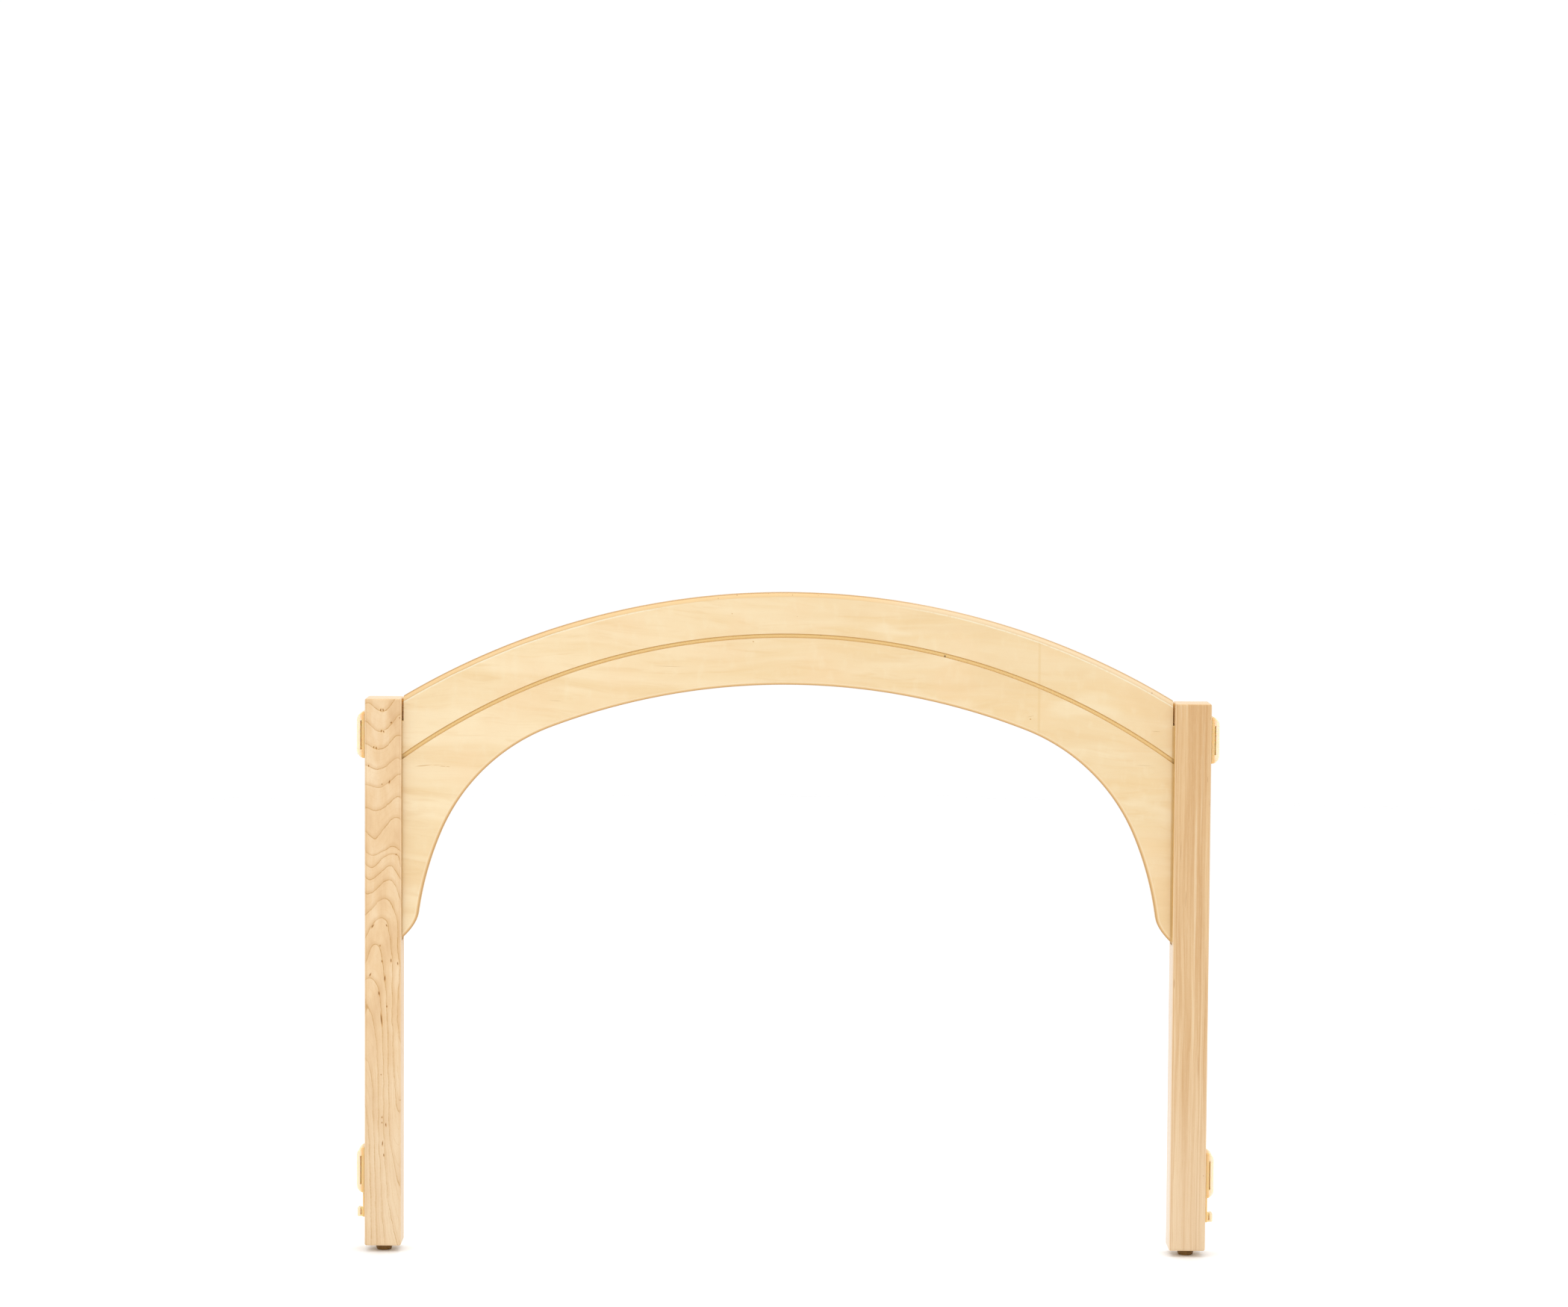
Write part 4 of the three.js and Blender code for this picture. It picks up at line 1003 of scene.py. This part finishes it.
for level, zc, tail in (("upper", UPPER_Z, False), ("lower", LOWER_Z, True)):
    left = connector(f"left_{level}_connector_moulding", zc, tail)
    right = mirror_x(left, f"right_{level}_connector_moulding")
    dress(left, "cream_moulding", "arch_frame", f"left_{level}_connector")
    dress(right, "cream_moulding", "arch_frame", f"right_{level}_connector")


# ------------------------------------------------------------ screws

def connector_screw(name):
    """Countersunk wood screw about +Z, its head's face at z = 0 and its point below."""
    R, r0, pitch = 2.1, 1.45, 1.7
    rows = [(0.0, -29.0), (0.35, -28.6)]
    z = -28.2
    while z < -9.0:
        rows.append((R, z))
        z += pitch / 7
    rows += [(1.75, -8.8), (1.75, -2.9), (2.1, -2.35), (3.75, -0.42), (3.9, -0.25), (3.9, -0.08), (3.82, 0.0), (0.0, 0.0)]

    def thread(r, z, phi):
        if r != R or z > -9.0:
            return r
        t = ((z / pitch) - phi / (2 * math.pi)) % 1.0
        crest = max(0.0, 1 - abs(t - 0.5) * 3.2)
        core = min(r0, 0.35 + (z + 28.6) * 0.33)
        full = min(R, 0.45 + (z + 28.6) * 0.42)
        run = min(1.0, (-9.0 - z) / 1.5)
        return core + (full - core) * crest * max(0.0, run)
    obj = turned(name, rows, 36, twist=thread)
    a = rounded_box("recess", (-2.15, -0.42, -1.9), (2.15, 0.42, 1.0), 0.0)
    b = rounded_box("recess", (-0.42, -2.15, -1.9), (0.42, 2.15, 1.0), 0.0)
    cone = turned("recess", [(0, -2.3), (1.15, -0.6), (1.3, 1.0), (0, 1.0)], 24)
    combine(obj, [a, b, cone])
    return shade(obj, 40)


first = connector_screw("screw_pattern")
for side, sign in (("left", 1), ("right", -1)):
    for level, zc in (("upper", UPPER_Z), ("lower", LOWER_Z)):
        for end, dz, turn in (("top", SCREW_DZ, 23), ("bottom", -SCREW_DZ, 61)):
            name = f"{side}_{level}_screw_{end}"
            me = first.data.copy()
            me.transform(Matrix.Rotation(math.radians(turn + (17 if side == "left" else 0)), 4, "Z"))
            me.transform(Matrix.Rotation(-math.pi / 2 * sign, 4, "Y"))
            me.transform(Matrix.Translation((-sign * (POST_OUTER + PROUD - 0.15) * MM, 0, (zc + dz) * MM)))
            me.name = name + "_steel"
            obj = link(bpy.data.objects.new(name + "_steel", me))
            dress(obj, "zinc_steel", "arch_frame", name)
drop(first)


# ------------------------------------------------------------ levelling glides

def fillet_profile(points):
    return [(r, z) for r, z in points]


def glide(name):
    rows = [(0, 0.0), (1.2, 0.0), (5.4, 0.0), (6.9, 0.0)]
    for a in np.linspace(15, 90, 6):           # foot's rolled rim
        rows.append((6.9 + 1.35 * math.sin(math.radians(a)), 1.35 * (1 - math.cos(math.radians(a)))))
    rows += [(8.45, 2.0), (8.7, 2.8), (8.88, 3.7), (9.0, 4.7), (9.06, 5.4), (9.1, 5.9)]
    for a in np.linspace(0, 90, 5):
        rows.append((8.65 + 0.45 * math.cos(math.radians(a)), 6.25 + 0.45 * math.sin(math.radians(a))))
    rows += [(7.0, 6.7), (6.6, 6.5), (5.4, 6.5), (4.9, 6.55), (4.5, 6.45), (4.3, 6.2), (4.3, 3.2), (0, 3.0)]
    return shade(turned(name, rows, 96), 50)


def stem(name):
    pitch, major, minor = 1.25, 3.98, 3.32
    rows = [(0.0, 3.3), (2.9, 3.3)]
    z = 3.35
    while z < 39.9:
        rows.append((major, z))
        z += pitch / 8
    rows += [(2.9, 40.0), (0.0, 40.0)]

    def thread(r, z, phi):
        if r != major:
            return r
        t = ((z / pitch) - phi / (2 * math.pi)) % 1.0
        crest = min(1.0, max(0.0, 1.25 - abs(t - 0.5) * 2.7))
        ends = min(1.0, (z - 3.3) / 1.0, (40.0 - z) / 1.0)
        return minor + (major - minor) * crest * max(0.0, ends) - (1 - max(0.0, ends)) * 0.35
    return shade(turned(name, rows, 48, twist=thread), 50)


def insert(name):
    z0, z1, R, core, bore = 7.2, 24.6, 6.2, 5.45, 4.08
    rows = [(bore + 0.5, z0), (R - 0.15, z0), (R, z0 + 0.15), (R, z0 + 1.2), (core, z0 + 1.6)]
    z, pitch = z0 + 1.9, 3.0
    while z < z1 - 0.6:
        rows.append((5.5, z))
        z += pitch / 10
    rows += [(core - 0.3, z1 - 0.3), (core - 0.7, z1), (bore + 0.4, z1), (bore, z1 - 0.4), (bore, z0 + 0.5)]

    def thread(r, z, phi):
        if r != 5.5:
            return r
        t = ((z / pitch) - phi / (2 * math.pi)) % 1.0
        crest = max(0.0, min(1.0, 1.35 - abs(t - 0.5) * 5.0))
        ends = max(0.0, min(1.0, (z - z0 - 1.9) / 1.5, (z1 - 0.6 - z) / 1.5))
        return core + (6.15 - core) * crest * ends
    return shade(turned(name, rows, 48, closed=True, twist=thread), 50)


for side, x in (("left", -POST_AXIS), ("right", POST_AXIS)):
    dress(move(glide(f"{side}_glide_nylon"), x, 0, 0), "brown_nylon", f"{side}_leveller", f"{side}_glide")
    dress(move(stem(f"{side}_glide_stem_steel"), x, 0, 0), "zinc_steel", f"{side}_leveller", f"{side}_glide_stem")
    dress(move(insert(f"{side}_threaded_insert_steel"), x, 0, 0), "zinc_steel", "arch_frame", f"{side}_threaded_insert")


# ------------------------------------------------------------ studio

def floor():
    """A pale round floor that fades into the white surround."""
    bm = bmesh.new()
    bmesh.ops.create_circle(bm, cap_ends=True, segments=96, radius=9.0)
    me = bpy.data.meshes.new("studio_floor")
    bm.to_mesh(me)
    bm.free()
    obj = link(bpy.data.objects.new("studio_floor", me))
    p = Paint("pale_studio_floor")
    d = p.vmath("LENGTH", p.object)
    soft = p.noise(p.object, 2.5, 3.0)
    p.color(p.ramp(soft, [(0.3, (0.955, 0.955, 0.955, 1)), (0.7, (0.965, 0.965, 0.965, 1))]))
    p.gloss(0.7, specular=0.2)
    clear = p.node("ShaderNodeBsdfTransparent")
    mixer = p.node("ShaderNodeMixShader")
    p.put(mixer.inputs[0], p.step(d, 2.2, 6.5))
    p.nt.links.new(p.bsdf.outputs[0], mixer.inputs[1])
    p.nt.links.new(clear.outputs[0], mixer.inputs[2])
    p.nt.links.new(mixer.outputs[0], p.out.inputs[0])
    me.materials.append(p.mat)


def lamp(name, at, to, width, height, power, color=(1, 1, 1)):
    data = bpy.data.lights.new(name, "AREA")
    data.shape = "RECTANGLE"
    data.size, data.size_y = width, height
    data.energy = power
    data.color = color
    obj = link(bpy.data.objects.new(name, data))
    obj.location = at
    obj.rotation_mode = "QUATERNION"
    obj.rotation_quaternion = (Vector(to) - Vector(at)).to_track_quat("-Z", "Y")


floor()
world = bpy.data.worlds.new("white_surround")
world.use_nodes = True
world.node_tree.nodes["Background"].inputs[0].default_value = (1.0, 1.0, 1.0, 1.0)
world.node_tree.nodes["Background"].inputs[1].default_value = 1.02
bpy.context.scene.world = world

lamp("overhead", (0, 0.2, 3.4), (0, 0, 0), 3.4, 3.0, 34)
lamp("key_left", (-1.7, -3.4, 3.1), (-0.2, 0, 0.45), 0.75, 0.75, 12.5)
lamp("key_right", (1.7, -3.4, 3.1), (0.2, 0, 0.45), 0.75, 0.75, 12.5)

scene = bpy.context.scene
scene.view_settings.view_transform = "Standard"
scene.view_settings.look = "None"
scene.view_settings.exposure = 0.0
scene.view_settings.gamma = 1.0


# ------------------------------------------------------------ camera

cam_data = bpy.data.cameras.new("camera")
cam_data.sensor_width = 36.0
cam_data.lens = 5791.0 / 2100.0 * 36.0
cam_data.clip_start, cam_data.clip_end = 0.05, 60.0
cam = link(bpy.data.objects.new("camera", cam_data))
pitch, roll = math.radians(3.744), math.radians(0.382)
forward = Vector((0, math.cos(pitch), -math.sin(pitch)))
up0 = Vector((0, math.sin(pitch), math.cos(pitch)))
right0 = Vector((1, 0, 0))
right = right0 * math.cos(roll) + up0 * math.sin(roll)
up = up0 * math.cos(roll) - right0 * math.sin(roll)
turn = Matrix((right, up, -forward)).transposed().to_4x4()
cam.matrix_world = Matrix.Translation((-5.1 * MM, -4671.0 * MM, 959.9 * MM)) @ turn
scene.camera = cam

bpy.context.view_layer.update()
